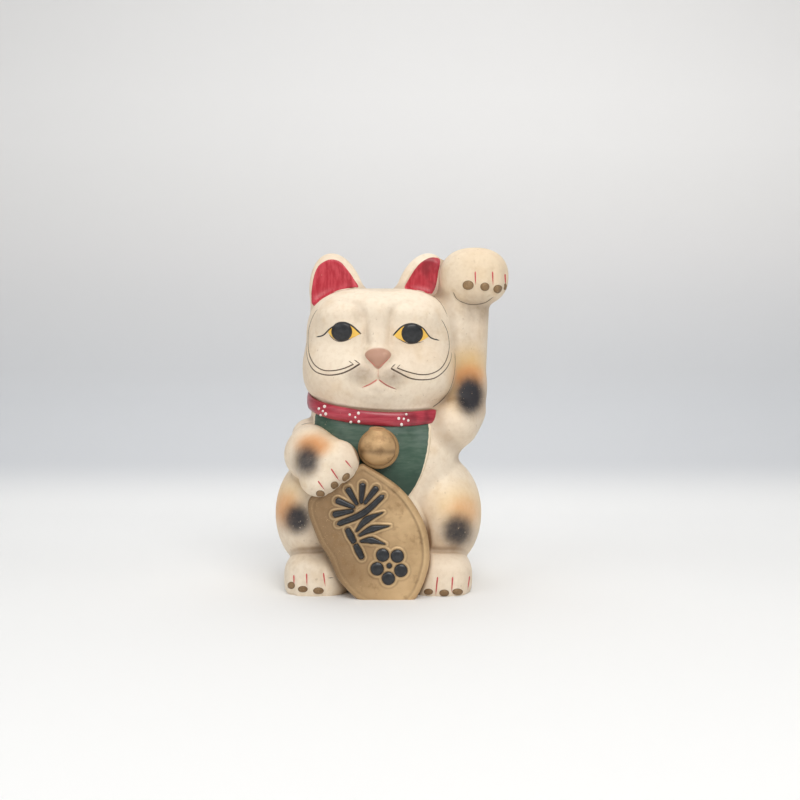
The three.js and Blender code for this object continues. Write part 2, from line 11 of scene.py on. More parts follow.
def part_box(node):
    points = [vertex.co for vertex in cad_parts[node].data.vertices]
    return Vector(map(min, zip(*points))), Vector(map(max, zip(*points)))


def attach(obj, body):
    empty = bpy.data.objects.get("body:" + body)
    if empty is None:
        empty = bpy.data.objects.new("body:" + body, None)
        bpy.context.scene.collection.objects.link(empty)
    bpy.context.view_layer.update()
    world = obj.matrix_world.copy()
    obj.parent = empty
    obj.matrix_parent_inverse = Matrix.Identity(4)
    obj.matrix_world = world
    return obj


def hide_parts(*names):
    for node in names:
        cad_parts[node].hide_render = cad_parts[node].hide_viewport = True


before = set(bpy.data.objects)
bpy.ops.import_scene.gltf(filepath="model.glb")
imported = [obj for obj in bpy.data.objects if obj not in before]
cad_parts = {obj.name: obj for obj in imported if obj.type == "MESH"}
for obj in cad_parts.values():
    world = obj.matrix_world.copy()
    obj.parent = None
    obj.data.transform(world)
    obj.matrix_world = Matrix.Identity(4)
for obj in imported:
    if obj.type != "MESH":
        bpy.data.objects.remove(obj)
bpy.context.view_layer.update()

# Shapes are worked out in millimetres about the cat's own axis, which runs through the stopper.
plug_low, plug_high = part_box("stopper")
AXIS = np.array([(plug_low.x + plug_high.x) / 2, (plug_low.y + plug_high.y) / 2, 0.0]) * 1000

# The camera stands level in front of the cat, and the paint is laid out in its picture, 800 pixels wide.
EYE = np.array([14.7, -595.0, 120.0])
LENS, SENSOR, PICTURE = 40.0, 36.0, 800
FOCAL = PICTURE * LENS / SENSOR

VOXEL = 0.85


def to_frame(points):
    return (np.asarray(points) + AXIS) / 1000


def in_picture(p):
    """Where a point of the cat stands in the picture."""
    d = p[:, 1] - EYE[1]
    return PICTURE / 2 + (p[:, 0] - EYE[0]) * FOCAL / d, PICTURE / 2 - (p[:, 2] - EYE[2]) * FOCAL / d


def rays(px, py):
    """Lines of sight through the picture."""
    d = np.stack([(px - PICTURE / 2) / FOCAL, np.ones_like(px), (PICTURE / 2 - py) / FOCAL], 1)
    return np.tile(EYE, (len(px), 1)), d / np.linalg.norm(d, axis=1)[:, None]


# Clay forms. A field gives the distance of points from the clay's surface, below zero inside it.
def block(centre, size, power=2.0, turn=0.0):
    a, b, c = (s / 2 for s in size)
    ct, st = math.cos(math.radians(turn)), math.sin(math.radians(turn))

    def distance(p):
        x, y, z = (p - np.array(centre)).T
        x, z = x * ct - z * st, x * st + z * ct
        u, v, w = np.abs(x) / a, np.abs(y) / b, np.abs(z) / c
        if power == 2.0:
            reach = np.maximum(np.sqrt(u * u + v * v + w * w), 1e-6)
            slope = np.sqrt((u / a) ** 2 + (v / b) ** 2 + (w / c) ** 2)
            return (reach - 1) * reach / np.maximum(slope, 1e-9)
        n = power
        un, vn, wn = u ** (n - 1), v ** (n - 1), w ** (n - 1)
        reach = np.maximum((un * u + vn * v + wn * w) ** (1 / n), 1e-6)
        slope = np.sqrt((un / a) ** 2 + (vn / b) ** 2 + (wn / c) ** 2)
        return (reach - 1) * reach ** (n - 1) / np.maximum(slope, 1e-9)

    distance.seeds = [(centre, (a * 0.97, b * 0.97, c * 0.97), turn)]
    return distance


def limb(start, end, start_radius, end_radius):
    s, e = np.array(start, float), np.array(end, float)
    bone = e - s

    def distance(p):
        t = np.clip((p - s) @ bone / (bone @ bone), 0, 1)
        away = np.linalg.norm(p - s - t[:, None] * bone, axis=1)
        return away - start_radius - (end_radius - start_radius) * t

    distance.seeds = [
        (tuple(s + bone * t), (start_radius + (end_radius - start_radius) * t,) * 3, 0.0)
        for t in np.linspace(0, 1, 6)
    ]
    return distance


def press(base, *added):
    """Presses forms onto a base, each with the width of its soft crease."""

    def distance(p):
        d = base(p)
        for f, width in added:
            e = f(p)
            h = np.maximum(width - np.abs(d - e), 0) / width
            d = np.minimum(d, e) - h * h * width / 4
        return d

    distance.seeds = base.seeds + [s for f, _ in added for s in f.seeds]
    return distance


def carve(base, cutter, width):
    def distance(p):
        d, e = -base(p), cutter(p)
        h = np.maximum(width - np.abs(d - e), 0) / width
        return -(np.minimum(d, e) - h * h * width / 4)

    distance.seeds = base.seeds
    return distance


def slope_of(field, p, reach=0.15):
    g = np.empty_like(p)
    for k in range(3):
        step = np.zeros(3)
        step[k] = reach
        g[:, k] = field(p + step) - field(p - step)
    return g / (2 * reach)


def unit(v):
    return v / np.maximum(np.linalg.norm(v, axis=-1, keepdims=True), 1e-9)


def settle(field, p, rounds=2):
    """Slides points onto the surface of the clay."""
    for _ in range(rounds):
        d = field(p)
        g = np.stack([field(p + step) - d for step in np.eye(3) * 0.1], 1) / 0.1
        size = np.maximum((g * g).sum(1), 0.05)
        p = p - g * np.clip(d / size, -6, 6)[:, None]
        p = p - g * np.clip(field(p) / size, -6, 6)[:, None]
    return p


def trace(field, origins, directions, start, rounds=60):
    """Follows lines to the clay. One that misses it goes to the clay nearest to it."""
    t = np.full(len(origins), float(start))
    best, nearest = np.full(len(origins), 1e9), t.copy()
    live = np.arange(len(origins))
    for _ in range(rounds):
        d = field(origins[live] + directions[live] * t[live, None])
        closer = live[np.abs(d) < best[live]]
        best[closer], nearest[closer] = np.abs(d)[np.abs(d) < best[live]], t[closer]
        t[live] += np.clip(d * 0.85, -20, 30)
        live = live[np.abs(d) > 0.02]
        if not len(live):
            break
    return settle(field, origins + directions * nearest[:, None], 1)


def smooth_step(low, high, v):
    t = np.clip((v - low) / (high - low), 0, 1)
    return t * t * (3 - 2 * t)


def hump(v, middle, width):
    """1 at the middle, falling off smoothly over the width."""
    return np.exp(-(((v - middle) / width) ** 2))


def path_through(points, closed=False):
    """A smooth line through points: takes shares of its way, 0 to 1, with an equal share for each span."""
    pts = np.array(points, float)
    if closed:
        pts = np.vstack([pts[-1], pts, pts[0], pts[1]])
    else:
        pts = np.vstack([2 * pts[0] - pts[1], pts, 2 * pts[-1] - pts[-2]])
    spans = len(pts) - 3

    def at(s):
        s = np.clip(np.asarray(s, float), 0, 1) * spans
        k = np.minimum(s.astype(int), spans - 1)
        t = (s - k)[:, None]
        a, b, c, d = pts[k], pts[k + 1], pts[k + 2], pts[k + 3]
        square, cube = 2 * a - 5 * b + 4 * c - d, 3 * b - a - 3 * c + d
        return 0.5 * (2 * b + (c - a) * t + square * t**2 + cube * t**3)

    return at


def to_segment(x, y, a, b):
    """How far places lie from the straight piece from a to b, and how far along it, 0 to 1."""
    ab = b - a
    t = np.clip(((x - a[0]) * ab[0] + (y - a[1]) * ab[1]) / max(ab @ ab, 1e-9), 0, 1)
    return np.hypot(x - a[0] - t * ab[0], y - a[1] - t * ab[1]), t


def distance_to_line(px, py, points, count, closed=False):
    line = path_through(points, closed)(np.linspace(0, 1, count))
    best = np.full(len(px), 1e9)
    for a, b in zip(line[:-1], line[1:]):
        best = np.minimum(best, to_segment(px, py, a, b)[0])
    return best


def depth_inside(px, py, outline, count=72):
    """Distance to a closed outline, above zero inside it."""
    line = path_through(outline, True)(np.linspace(0, 1, count))
    inside = np.zeros(len(px), bool)
    for a, b in zip(line[:-1], line[1:]):
        crosses = (a[1] > py) != (b[1] > py)
        inside ^= crosses & (px < a[0] + (b[0] - a[0]) * (py - a[1]) / (b[1] - a[1] + 1e-12))
    away = distance_to_line(px, py, outline, count, True)
    return np.where(inside, away, -away)


# The figure. The head sits a little towards the raised arm.
HEAD_SHIFT = 1.2
RUMP = block((0, 8, 30), (116, 92, 92), 2.4)
BELLY = block((0, -4, 66), (94, 84, 92))
CHEST = block((0, -1, 94), (90, 80, 68), 2.2)
COLLAR_FRONT, CHEST_REACH, COLLAR_RISE = 108, 42.5, math.radians(13)
COLLAR_HEIGHT = COLLAR_FRONT + CHEST_REACH * math.tan(COLLAR_RISE)
NECK = block((0, -1, COLLAR_HEIGHT), (88, 83, 60), 2.2)

HAUNCH_L = block((-41.3, -4, 46), (52.2, 80, 74))
HAUNCH_R = block((42, -4, 46), (53, 80, 74))
FOOT_L = block((-37.5, -29.5, 8.75), (41.5, 48, 32.5), 2.8)
FOOT_R = block((40.5, -29.5, 8.75), (39.5, 48, 32.5), 2.8)
FLANK = block((31, -8, 84), (42, 58, 58))
TAIL = limb((-9.6, 49, 10.2), (17.6, 48, 11.9), 7.65, 8.5)

TRUNK = [(BELLY, 12), (CHEST, 12), (NECK, 8), (FLANK, 8), (HAUNCH_L, 5), (HAUNCH_R, 5)]
body = press(RUMP, *TRUNK, (FOOT_L, 3), (FOOT_R, 3), (TAIL, 5))


def face_side(side):
    """A cheek and the brow above it."""
    cheek = block((HEAD_SHIFT + side * 24, -10, 139), (52, 70, 48), 2.2)
    brow = block((HEAD_SHIFT + side * 17, -36, 174), (36, 20, 14), turn=side * 8)
    return [(cheek, 6), (brow, 9)]


SKULL = block((HEAD_SHIFT, -2, 158), (96, 84, 70), 3.0)
JAW = block((HEAD_SHIFT, -15, 127), (76, 64, 44), 2.2)
MUZZLE = block((HEAD_SHIFT, -38, 136), (42, 24, 24))
NOSE_BRIDGE = block((HEAD_SHIFT, -39, 159), (16, 18, 40))
NOSE_TIP = block((HEAD_SHIFT, -45, 147), (15, 13, 10))
head = press(SKULL, (JAW, 5), *face_side(-1), *face_side(1), (MUZZLE, 9), (NOSE_BRIDGE, 9), (NOSE_TIP, 4))


def ear(side):
    leaf = block((HEAD_SHIFT + side * 28.2, 3, 187.6), (37, 15, 63), turn=side * 12)
    hollow = block((HEAD_SHIFT + side * 29.7, -3.9, 186), (31.6, 12, 58), turn=side * 12)
    return carve(leaf, hollow, 1.5)


EARS = press(ear(-1), (ear(1), 0.5))

ELBOW, MID_ARM, WRIST, PAW = (54.5, 0, 114), (55.6, 3, 129), (57.5, 1, 187), (63.5, -8, 201)
RAISED = press(
    block((50, -6, 105), (34, 60, 34)),
    (limb(ELBOW, MID_ARM, 17.6, 16.3), 5),
    (limb(MID_ARM, WRIST, 16.3, 17), 5),
    (block(PAW, (45, 42, 38), 2.3), 4),
    (block((50, -5, 166), (20, 28, 64), 2.6), 5),
)
SHOULDER_L, ELBOW_L = (-44.6, -8, 96), (-41, -28, 85.5)
PAW_INNER, PAW_OUTER = (-23.5, -54.1, 82.5), (-34.4, -54.1, 73.2)
LOWERED = press(
    limb(SHOULDER_L, ELBOW_L, 12, 16.6),
    (limb(ELBOW_L, PAW_INNER, 16.6, 12.4), 4),
    (limb(ELBOW_L, PAW_OUTER, 16.4, 10.6), 4),
    (limb(PAW_INNER, PAW_OUTER, 12.3, 11.8), 4),
)

# Shallow relief of the face and the toes, laid out in the picture
BROWS = [
    [(344, 302), (354, 304), (361, 310), (364.6, 319), (366, 330), (367, 343)],
    [(409, 303), (400, 305), (394, 311), (391, 319), (390, 330), (389, 343)],
]
MOUTH = [[(378, 379), (370, 384.2), (361.5, 387.8)], [(378, 379), (386.7, 385.2), (397, 389.6)]]
PHILTRUM = [(378, 368), (378, 374), (378, 379)]
NOSE = [
    (365.4, 355.5), (367, 350.5), (372, 347.6), (378, 347), (384, 347.6), (389, 350.5), (390.6, 355.5),
    (385, 362), (378, 368.6), (371, 362),
]
BRIDGE = [[(364.8, 331), (365.6, 341), (363.6, 350)], [(390.6, 331), (390, 341), (392.4, 350)]]
TOES_RAISED = [[(475, 270), (475.6, 289)], [(492.4, 270), (492.8, 291)], [(504.6, 272), (504, 290)]]
PALM = [(453, 292), (457, 299), (465, 303.2), (474, 304.6), (485, 302.6), (493.6, 296.8)]
TOES_LOWERED = [[(343.5, 458), (354, 471)], [(330, 468.5), (342, 484)], [(317, 480), (328, 493)]]
TOES_LEFT = [[(293.8, 570), (293.5, 596)], [(307, 570), (306.5, 597)], [(323, 570), (323.5, 597)]]
TOES_RIGHT = [[(437, 574), (435, 597)], [(454, 574), (452, 597)], [(470, 573), (467, 596)]]


# The relief is drawn once on a grid over the picture.
GRID, LEFT, TOP, RIGHT, BOTTOM = 0.5, 270, 240, 520, 612
grid_x, grid_y = np.meshgrid(np.arange(LEFT, RIGHT, GRID), np.arange(TOP, BOTTOM, GRID), indexing="ij")
face_relief, toe_relief = np.zeros(grid_x.shape), np.zeros(grid_x.shape)


def draw(layer, window, height):
    """Adds a height, worked out from places of the picture, within a window of the grid."""
    x0, y0, x1, y1 = window
    i0, i1, j0, j1 = (int(v / GRID) for v in (x0 - LEFT, x1 - LEFT, y0 - TOP, y1 - TOP))
    part = np.s_[i0:i1, j0:j1]
    x, y = grid_x[part], grid_y[part]
    layer[part] += height(x.ravel(), y.ravel()).reshape(x.shape)


def window_of(points, margin):
    pts = np.array(points)
    (x0, y0), (x1, y1) = pts.min(0) - margin, pts.max(0) + margin
    return max(x0, LEFT), max(y0, TOP), min(x1, RIGHT - 1), min(y1, BOTTOM - 1)


def bump(cx, cy, rx, ry, height):
    def shape(x, y):
        return height * np.maximum(1 - ((x - cx) / rx) ** 2 - ((y - cy) / ry) ** 2, 0) ** 2

    draw(face_relief, window_of([(cx - rx, cy - ry), (cx + rx, cy + ry)], 1), shape)


def groove(layer, points, width, depth, count=24):
    def shape(x, y):
        return -depth * hump(distance_to_line(x, y, points, count), 0, width)

    draw(layer, window_of(points, width * 3), shape)


# Eyeballs, forehead, whisker pads and chin
for swelling in (
    (343.5, 332, 25, 15, 2.3), (411, 333.5, 25, 15, 2.3), (378, 307, 17, 13, 1.2),
    (361, 374, 22, 14, 1.7), (395, 376, 22, 14, 1.7), (378, 397, 22, 11, 1.2), (378, 407, 36, 9, 1.3),
):
    bump(*swelling)


def nose_height(x, y):
    return (0.5 + 1.2 * smooth_step(348, 359, y)) * smooth_step(-4.5, 3, depth_inside(x, y, NOSE))


draw(face_relief, window_of(NOSE, 5), nose_height)
for line in BROWS:
    groove(face_relief, line, 4.2, 0.85)
    groove(face_relief, line[1:], 2.8, 0.4)
for line in BRIDGE:
    groove(face_relief, line, 3.4, 0.7)
for line in MOUTH:
    groove(face_relief, line, 2.4, 0.5)
groove(face_relief, PHILTRUM, 1.6, 0.8)
for line in TOES_RAISED + TOES_LOWERED + TOES_LEFT + TOES_RIGHT:
    groove(toe_relief, line, 2.3, 0.65, 3)
groove(toe_relief, PALM, 2.2, 0.9)
for x, y in ((468, 284), (484.5, 286), (498, 287)):
    window = (x - 9, y - 12, x + 9, y + 12)
    draw(toe_relief, window, lambda px, py: 1.3 * hump(px, x, 5) * hump(py, y, 7))


def looked_up(layer, px, py):
    x, y = (px - LEFT) / GRID, (py - TOP) / GRID
    i = np.clip(x.astype(int), 0, layer.shape[0] - 2)
    j = np.clip(y.astype(int), 0, layer.shape[1] - 2)
    u, v = np.clip(x - i, 0, 1), np.clip(y - j, 0, 1)
    low = layer[i, j] * (1 - u) + layer[i + 1, j] * u
    high = layer[i, j + 1] * (1 - u) + layer[i + 1, j + 1] * u
    return low * (1 - v) + high * v


FACE_BACK, FACE_LOW, FACE_HIGH, FACE_HALF = -22, 112, 194, 46.2
RAISED_PAW_SIDE, RAISED_PAW_LOW, LOWERED_PAW_LOW = 47.4, 172, 60
RAISED_PAW_BACK, LOWERED_PAW_BACK, FEET_BACK = -10, -44, -36


def relief(p):
    """How far the face and the toes stand out of the plain forms."""
    out = np.zeros(len(p))
    x, y, z = p.T
    px, py = in_picture(p)
    face = (y < FACE_BACK) & (z > FACE_LOW) & (z < FACE_HIGH) & (np.abs(x - HEAD_SHIFT) < FACE_HALF)
    out[face] = looked_up(face_relief, px[face], py[face]) * smooth_step(FACE_BACK, FACE_BACK - 12, y[face])
    back = np.where(z > LOWERED_PAW_LOW, LOWERED_PAW_BACK, FEET_BACK)
    back = np.where((z > RAISED_PAW_LOW) & (x > RAISED_PAW_SIDE), RAISED_PAW_BACK, back)
    drawn = (np.abs(px - (LEFT + RIGHT) / 2) < (RIGHT - LEFT) / 2 - 1) & (py > TOP) & (py < BOTTOM - 2)
    toes = (y < back) & drawn & ~face
    out[toes] = looked_up(toe_relief, px[toes], py[toes]) * smooth_step(0, 8, (back - y)[toes])
    return out


def with_relief(base):
    def distance(p):
        d = base(p)
        near = np.abs(d) < 8
        d[near] -= relief(p[near])
        return d

    distance.seeds = base.seeds
    return distance


body_and_head = press(body, (head, 2.5), (EARS, 8))
HEAD_AND_ARM = press(head, (EARS, 8), (RAISED, 7))
figure = with_relief(press(body, (RAISED, 10), (LOWERED, 3), (head, 2.5), (HEAD_AND_ARM, 0.3)))
plain_figure = with_relief(body_and_head)
head_only = press(head, (EARS, 2.5))


# Meshes
def object_from(bm, name):
    mesh = bpy.data.meshes.new(name)
    bm.to_mesh(mesh)
    bm.free()
    obj = bpy.data.objects.new(name, mesh)
    bpy.context.scene.collection.objects.link(obj)
    return obj


def points_of(mesh):
    co = np.empty(len(mesh.vertices) * 3, np.float32)
    mesh.vertices.foreach_get("co", co)
    return co.reshape(-1, 3).astype(float)


def set_points(mesh, points):
    mesh.vertices.foreach_set("co", np.ascontiguousarray(points, np.float32).ravel())
    mesh.update()


def settled(obj):
    """The object's mesh with its modifiers worked in."""
    bpy.context.view_layer.update()
    dg = bpy.context.evaluated_depsgraph_get()
    mesh = bpy.data.meshes.new_from_object(obj.evaluated_get(dg))
    old = obj.data
    obj.modifiers.clear()
    obj.data = mesh
    bpy.data.meshes.remove(old)
    return obj


def clay(name, field, fine):
    """Rough lumps of clay, fused, smoothed onto the field, and fused again finely."""
    bm = bmesh.new()
    for centre, half, turn in field.seeds:
        place = Matrix.Translation(centre) @ Matrix.Rotation(math.radians(turn), 4, "Y")
        bmesh.ops.create_icosphere(bm, subdivisions=3, radius=1, matrix=place @ Matrix.Diagonal((*half, 1)))
    obj = object_from(bm, name)
    for voxel in (max(2.5, fine), fine):
        mod = obj.modifiers.new("Fuse", "REMESH")
        mod.mode = "VOXEL"
        mod.voxel_size = voxel
        settled(obj)
        set_points(obj.data, settle(field, points_of(obj.data)))
    return obj


def cuboid(name, low, high):
    low, high = Vector(low), Vector(high)
    bm = bmesh.new()
    place = Matrix.Translation((low + high) / 2) @ Matrix.Diagonal((*(high - low), 1))
    bmesh.ops.create_cube(bm, size=1, matrix=place)
    return object_from(bm, name)


def shape_by(obj, *steps):
    """Cuts a piece by others: each step is an operation and the object that does it."""
    for operation, other in steps:
        mod = obj.modifiers.new("Cut", "BOOLEAN")
        mod.operation = operation
        mod.solver = "MANIFOLD"
        mod.object = other
    return settled(obj)


def copy_of(obj, name):
    twin = bpy.data.objects.new(name, obj.data.copy())
    bpy.context.scene.collection.objects.link(twin)
    return twin


def drop(*objs):
    for o in objs:
        mesh = o.data
        bpy.data.objects.remove(o)
        bpy.data.meshes.remove(mesh)


def finish_piece(obj, material, nodes=(), crease_angle=None):
    """Moves a piece into the part's frame, gives it its paint and its body, and hides the CAD nodes it
    stands in for.
    """
    set_points(obj.data, to_frame(points_of(obj.data)))
    obj.data.materials.clear()
    obj.data.materials.append(material)
    obj.data.shade_smooth()
    if crease_angle:
        obj.data.set_sharp_from_angle(angle=math.radians(crease_angle))
    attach(obj, "bank")
    if nodes:
        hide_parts(*nodes)


def mark(obj, name, values):
    layer = obj.data.attributes.new(name, "FLOAT", "POINT")
    layer.data.foreach_set("value", np.asarray(values, np.float32))


def sheet_on(name, nu, nv, lay, rim=None):
    """A thin closed piece: lay(u, v) gives where its grid lies, its normals, its height and its depth."""
    bm = bmesh.new()
    bmesh.ops.create_grid(bm, x_segments=nu, y_segments=nv, size=1)
    tag = bm.verts.layers.int.new("tag")
    for i, v in enumerate(bm.verts):
        v[tag] = i
    uv = np.array([v.co[:2] for v in bm.verts])
    place, normal, height, depth = lay(uv[:, 0], uv[:, 1])
    top = place + normal * np.asarray(height)[:, None]
    under = place - normal * depth
    raised = bmesh.ops.extrude_face_region(bm, geom=bm.faces[:], use_keep_orig=True)["geom"]
    for v in bm.verts:
        v.co = under[v[tag]]
    for v in (g for g in raised if isinstance(g, bmesh.types.BMVert)):
        v.co = top[v[tag]]
    bmesh.ops.recalc_face_normals(bm, faces=bm.faces[:])
    tags = [v[tag] for v in bm.verts]
    bm.verts.layers.int.remove(tag)
    obj = object_from(bm, name)
    if rim is not None:
        mark(obj, "rim", rim(uv[:, 0], uv[:, 1])[tags])
    return obj


def to_disc(u, v):
    return u * np.sqrt(1 - v * v / 2), v * np.sqrt(1 - u * u / 2)


def from_middle(u, v):
    return np.hypot(*to_disc(u, v))


# Materials: a socket joins in sums, and any other node comes from one method.
class Value:
    def __init__(self, paint, socket):
        self.paint, self.socket = paint, socket

    def math(self, operation, other, swap=False):
        a, b = (other, self) if swap else (self, other)
        return self.paint.node("ShaderNodeMath", {"operation": operation}, {0: a, 1: b})

    def __add__(self, other):
        return self.math("ADD", other)

    def __sub__(self, other):
        return self.math("SUBTRACT", other)

    def __rsub__(self, other):
        return self.math("SUBTRACT", other, swap=True)

    def __mul__(self, other):
        return self.math("MULTIPLY", other)

    __radd__ = __add__
    __rmul__ = __mul__

    def clamped(self):
        return self.math("MAXIMUM", 0.0).math("MINIMUM", 1.0)

    def between(self, low, high):
        """0 below low, 1 above high, smooth between."""
        ends = {"From Min": low, "From Max": high, "To Min": 0.0, "To Max": 1.0}
        if low > high:
            ends = {"From Min": high, "From Max": low, "To Min": 1.0, "To Max": 0.0}
        settings = {"interpolation_type": "SMOOTHSTEP", "clamp": True}
        return self.paint.node("ShaderNodeMapRange", settings, {"Value": self, **ends})


class Paint:
    """One material and its nodes."""

    def __init__(self, name, **constants):
        self.material = bpy.data.materials.new(name)
        self.material.use_nodes = True
        self.tree = self.material.node_tree
        self.shader = self.tree.nodes["Principled BSDF"]
        for key, value in constants.items():
            self.shader.inputs[key.replace("_", " ")].default_value = value
        self.place = self.node("ShaderNodeTexCoord", {}, {}, "Object")

    def node(self, kind, settings, inputs, output=0):
        made = self.tree.nodes.new(kind)
        for key, value in settings.items():
            if key == "stops":
                ramp = made.color_ramp
                while len(ramp.elements) < len(value):
                    ramp.elements.new(0.5)
                for element, (at, colour) in zip(ramp.elements, value):
                    element.position, element.color = at, (*colour, 1)
            else:
                setattr(made, key, value)
        for key, value in inputs.items():
            if isinstance(value, Value):
                self.tree.links.new(value.socket, made.inputs[key])
            else:
                made.inputs[key].default_value = value
        return Value(self, made.outputs[output])

    def noise(self, scale, detail, roughness, place=None):
        inputs = {"Vector": place or self.place, "Scale": scale, "Detail": detail, "Roughness": roughness}
        return self.node("ShaderNodeTexNoise", {}, inputs)

    def axis(self, name):
        return self.node("ShaderNodeSeparateXYZ", {}, {0: self.place}, name)

    def stretched(self, x, y, z):
        return self.node("ShaderNodeMapping", {}, {"Vector": self.place, "Scale": (x, y, z)})

    def mask(self, name):
        return self.node("ShaderNodeAttribute", {"attribute_name": name}, {}, "Fac")

    def mix(self, factor, a, b):
        def socket(v):
            return v if isinstance(v, Value) else (*v, 1)

        inputs = {0: factor, 6: socket(a), 7: socket(b)}
        return self.node("ShaderNodeMix", {"data_type": "RGBA", "clamp_factor": True}, inputs, 2)

    def coats(self, colour, *layers):
        """Lays coats over a colour: how much of each shows, and its colour."""
        for share, coat in layers:
            colour = self.mix(share, colour, coat)
        return colour

    def finish(self, colour, roughness, bump=None, strength=0.3, reach=0.0002):
        self.tree.links.new(colour.socket, self.shader.inputs["Base Color"])
        if isinstance(roughness, Value):
            self.tree.links.new(roughness.socket, self.shader.inputs["Roughness"])
        else:
            self.shader.inputs["Roughness"].default_value = roughness
        if bump is not None:
            inputs = {"Height": bump, "Strength": strength, "Distance": reach}
            normal = self.node("ShaderNodeBump", {}, inputs)
            self.tree.links.new(normal.socket, self.shader.inputs["Normal"])
        return self.material


def tint(red, green, blue):
    """A colour as it looks on a screen, 0 to 255."""

    def part(v):
        v /= 255
        return v / 12.92 if v <= 0.04045 else ((v + 0.055) / 1.055) ** 2.4

    return part(red), part(green), part(blue)


def cream_clay():
    p = Paint("aged cream paint on clay", IOR=1.45)
    cloud, blotch = p.noise(22, 4, 0.6), p.noise(75, 3, 0.55)
    grain, speck, fleck = p.noise(900, 2, 0.6), p.noise(420, 1, 0.4), p.noise(650, 2, 0.5)
    edge = (p.noise(240, 3, 0.7) - 0.5) * 0.55
    tan, orange, pink, grey, soot = (p.mask(name) for name in ("tan", "orange", "pink", "grey", "soot"))
    rose = p.mix(blotch.between(0.42, 0.62), tint(182, 140, 118), tint(206, 166, 142))
    soot = (soot + edge * 0.6 * soot).between(0.0, 0.95) * (1 - fleck.between(0.68, 0.72) * 0.35)
    colour = p.coats(
        p.mix(cloud.between(0.38, 0.68), tint(238, 223, 201), tint(230, 211, 187)),
        (blotch.between(0.5, 0.75) * 0.45, tint(220, 194, 158)),
        # Dirt and painted shade, tan, darker where the clay is hollow
        ((p.mask("grime") * (0.35 + blotch)).clamped() * 0.62, tint(188, 156, 118)),
        # Dirt and painted shade, dark brown, in the narrow creases
        ((p.mask("crease") * (0.55 + blotch)).clamped() * 0.8, tint(116, 84, 56)),
        ((p.noise(330, 3, 0.65) - 0.45).clamped() * 0.9, tint(196, 170, 136)),
        (speck.between(0.73, 0.78) * 0.25, tint(142, 114, 84)),
        # Pale edge by the koban: unpainted cream and painted highlight
        (p.mask("pale") * (0.5 + cloud * 0.5), tint(248, 236, 214)),
        ((tan + edge * tan * 0.6).clamped() * 0.85, tint(230, 190, 122)),
        ((orange + edge * orange * 0.8).between(0.0, 1.0) * 0.9, tint(219, 146, 84)),
        ((pink + edge * 0.5 * pink).between(0.1, 0.85), rose),
        # Grey: airbrush and smudges, and painted shade on the raised arm and along the head's top edge
        ((grey * (0.55 + p.noise(300, 2, 0.6) * 0.9)).clamped() * 0.62, tint(118, 92, 72)),
        (soot, p.mix(soot, tint(112, 84, 62), tint(44, 42, 46))),
    )
    roughness = 0.5 + cloud * 0.14 + grain * 0.08
    height = grain * 0.35 + p.noise(240, 3, 0.6) * 0.6 + speck.between(0.71, 0.76) * -0.5
    return p.finish(colour, roughness, height, 0.35, 0.00025)


def brushed_paint(name, dark, main, pale, roughness, streak, gloss, cream_rim=False):
    """A brushed coat: streaks along the brush, thin places and a few chips."""
    p = Paint(name, IOR=1.47, Coat_Weight=gloss, Coat_Roughness=0.25)
    streaks = p.noise(1, 3, 0.6, p.stretched(*streak))
    cloud, fine = p.noise(60, 3, 0.6), p.noise(700, 2, 0.6)
    colour = p.coats(
        p.mix(streaks.between(0.35, 0.68), main, pale),
        (cloud.between(0.5, 0.72) * 0.8, dark),
        (p.noise(500, 2, 0.5).between(0.72, 0.78) * 0.3, tint(225, 200, 175)),
    )
    if cream_rim:
        wobble = p.mask("rim") + (p.noise(300, 2, 0.5) - 0.5) * 0.5
        cream = (wobble.between(0.55, 0.75), tint(236, 218, 190))
        colour = p.coats(colour, (p.axis("Z").between(0.086, 0.062) * 0.9, dark), cream)
    return p.finish(colour, roughness + streaks * 0.12, streaks * 0.6 + fine * 0.4, 0.3, 0.0002)


def gold_clay(name, main, pale, dark, shade=None):
    """Gold paint on clay: dull metal flakes, wear and painted highlight on high spots, and dirt and painted
    shade in the hollows.
    """
    p = Paint(name, IOR=1.45, Metallic=0.35)
    cloud, blotch = p.noise(35, 4, 0.6), p.noise(160, 3, 0.6)
    flake, grain = p.noise(1500, 2, 0.7), p.noise(600, 3, 0.6)
    colour = p.mix(cloud.between(0.35, 0.68), main, pale)
    if shade:
        # Painted shade over the koban's left side; the koban is also made lighter towards its foot
        colour = p.mix(p.axis("X").between(-0.04, 0.012), p.mix(0.9, colour, shade), colour)
        colour = p.mix(p.axis("Z").between(0.016, 0.002) * 0.2, colour, tint(244, 208, 158))
    colour = p.coats(
        colour,
        (blotch.between(0.52, 0.74) * 0.6, dark),
        (flake.between(0.62, 0.72) * 0.5, tint(222, 186, 140)),
        # Dirt and painted shade in hollows and creases, from the mesh's mark
        ((p.mask("crease") * (0.6 + blotch * 0.8)).clamped() * 0.85, tint(70, 50, 32)),
        (p.mask("rim").between(0.7, 1.0) * 0.6, tint(92, 68, 42)),
        # Wear and painted highlight on raised ridges, from the mesh's mark
        ((p.mask("worn") * (0.2 + cloud)).clamped() * 0.4, tint(234, 204, 156)),
    )
    return p.finish(colour, 0.42 + blotch * 0.2, grain * 0.5 + blotch * 0.8, 0.35, 0.0003)


def plain_stroke(name, colour, pale, roughness, gloss=0.0, faded=None):
    p = Paint(name, IOR=1.47, Coat_Weight=gloss, Coat_Roughness=0.12)
    wash = p.noise(420, 3, 0.6)
    colour = p.mix(wash.between(0.35, 0.75), colour, pale)
    if faded:
        colour = p.mix(p.mask("rim").clamped(), colour, faded)
    return p.finish(colour, roughness + wash * 0.1, wash, 0.15, 0.0001)


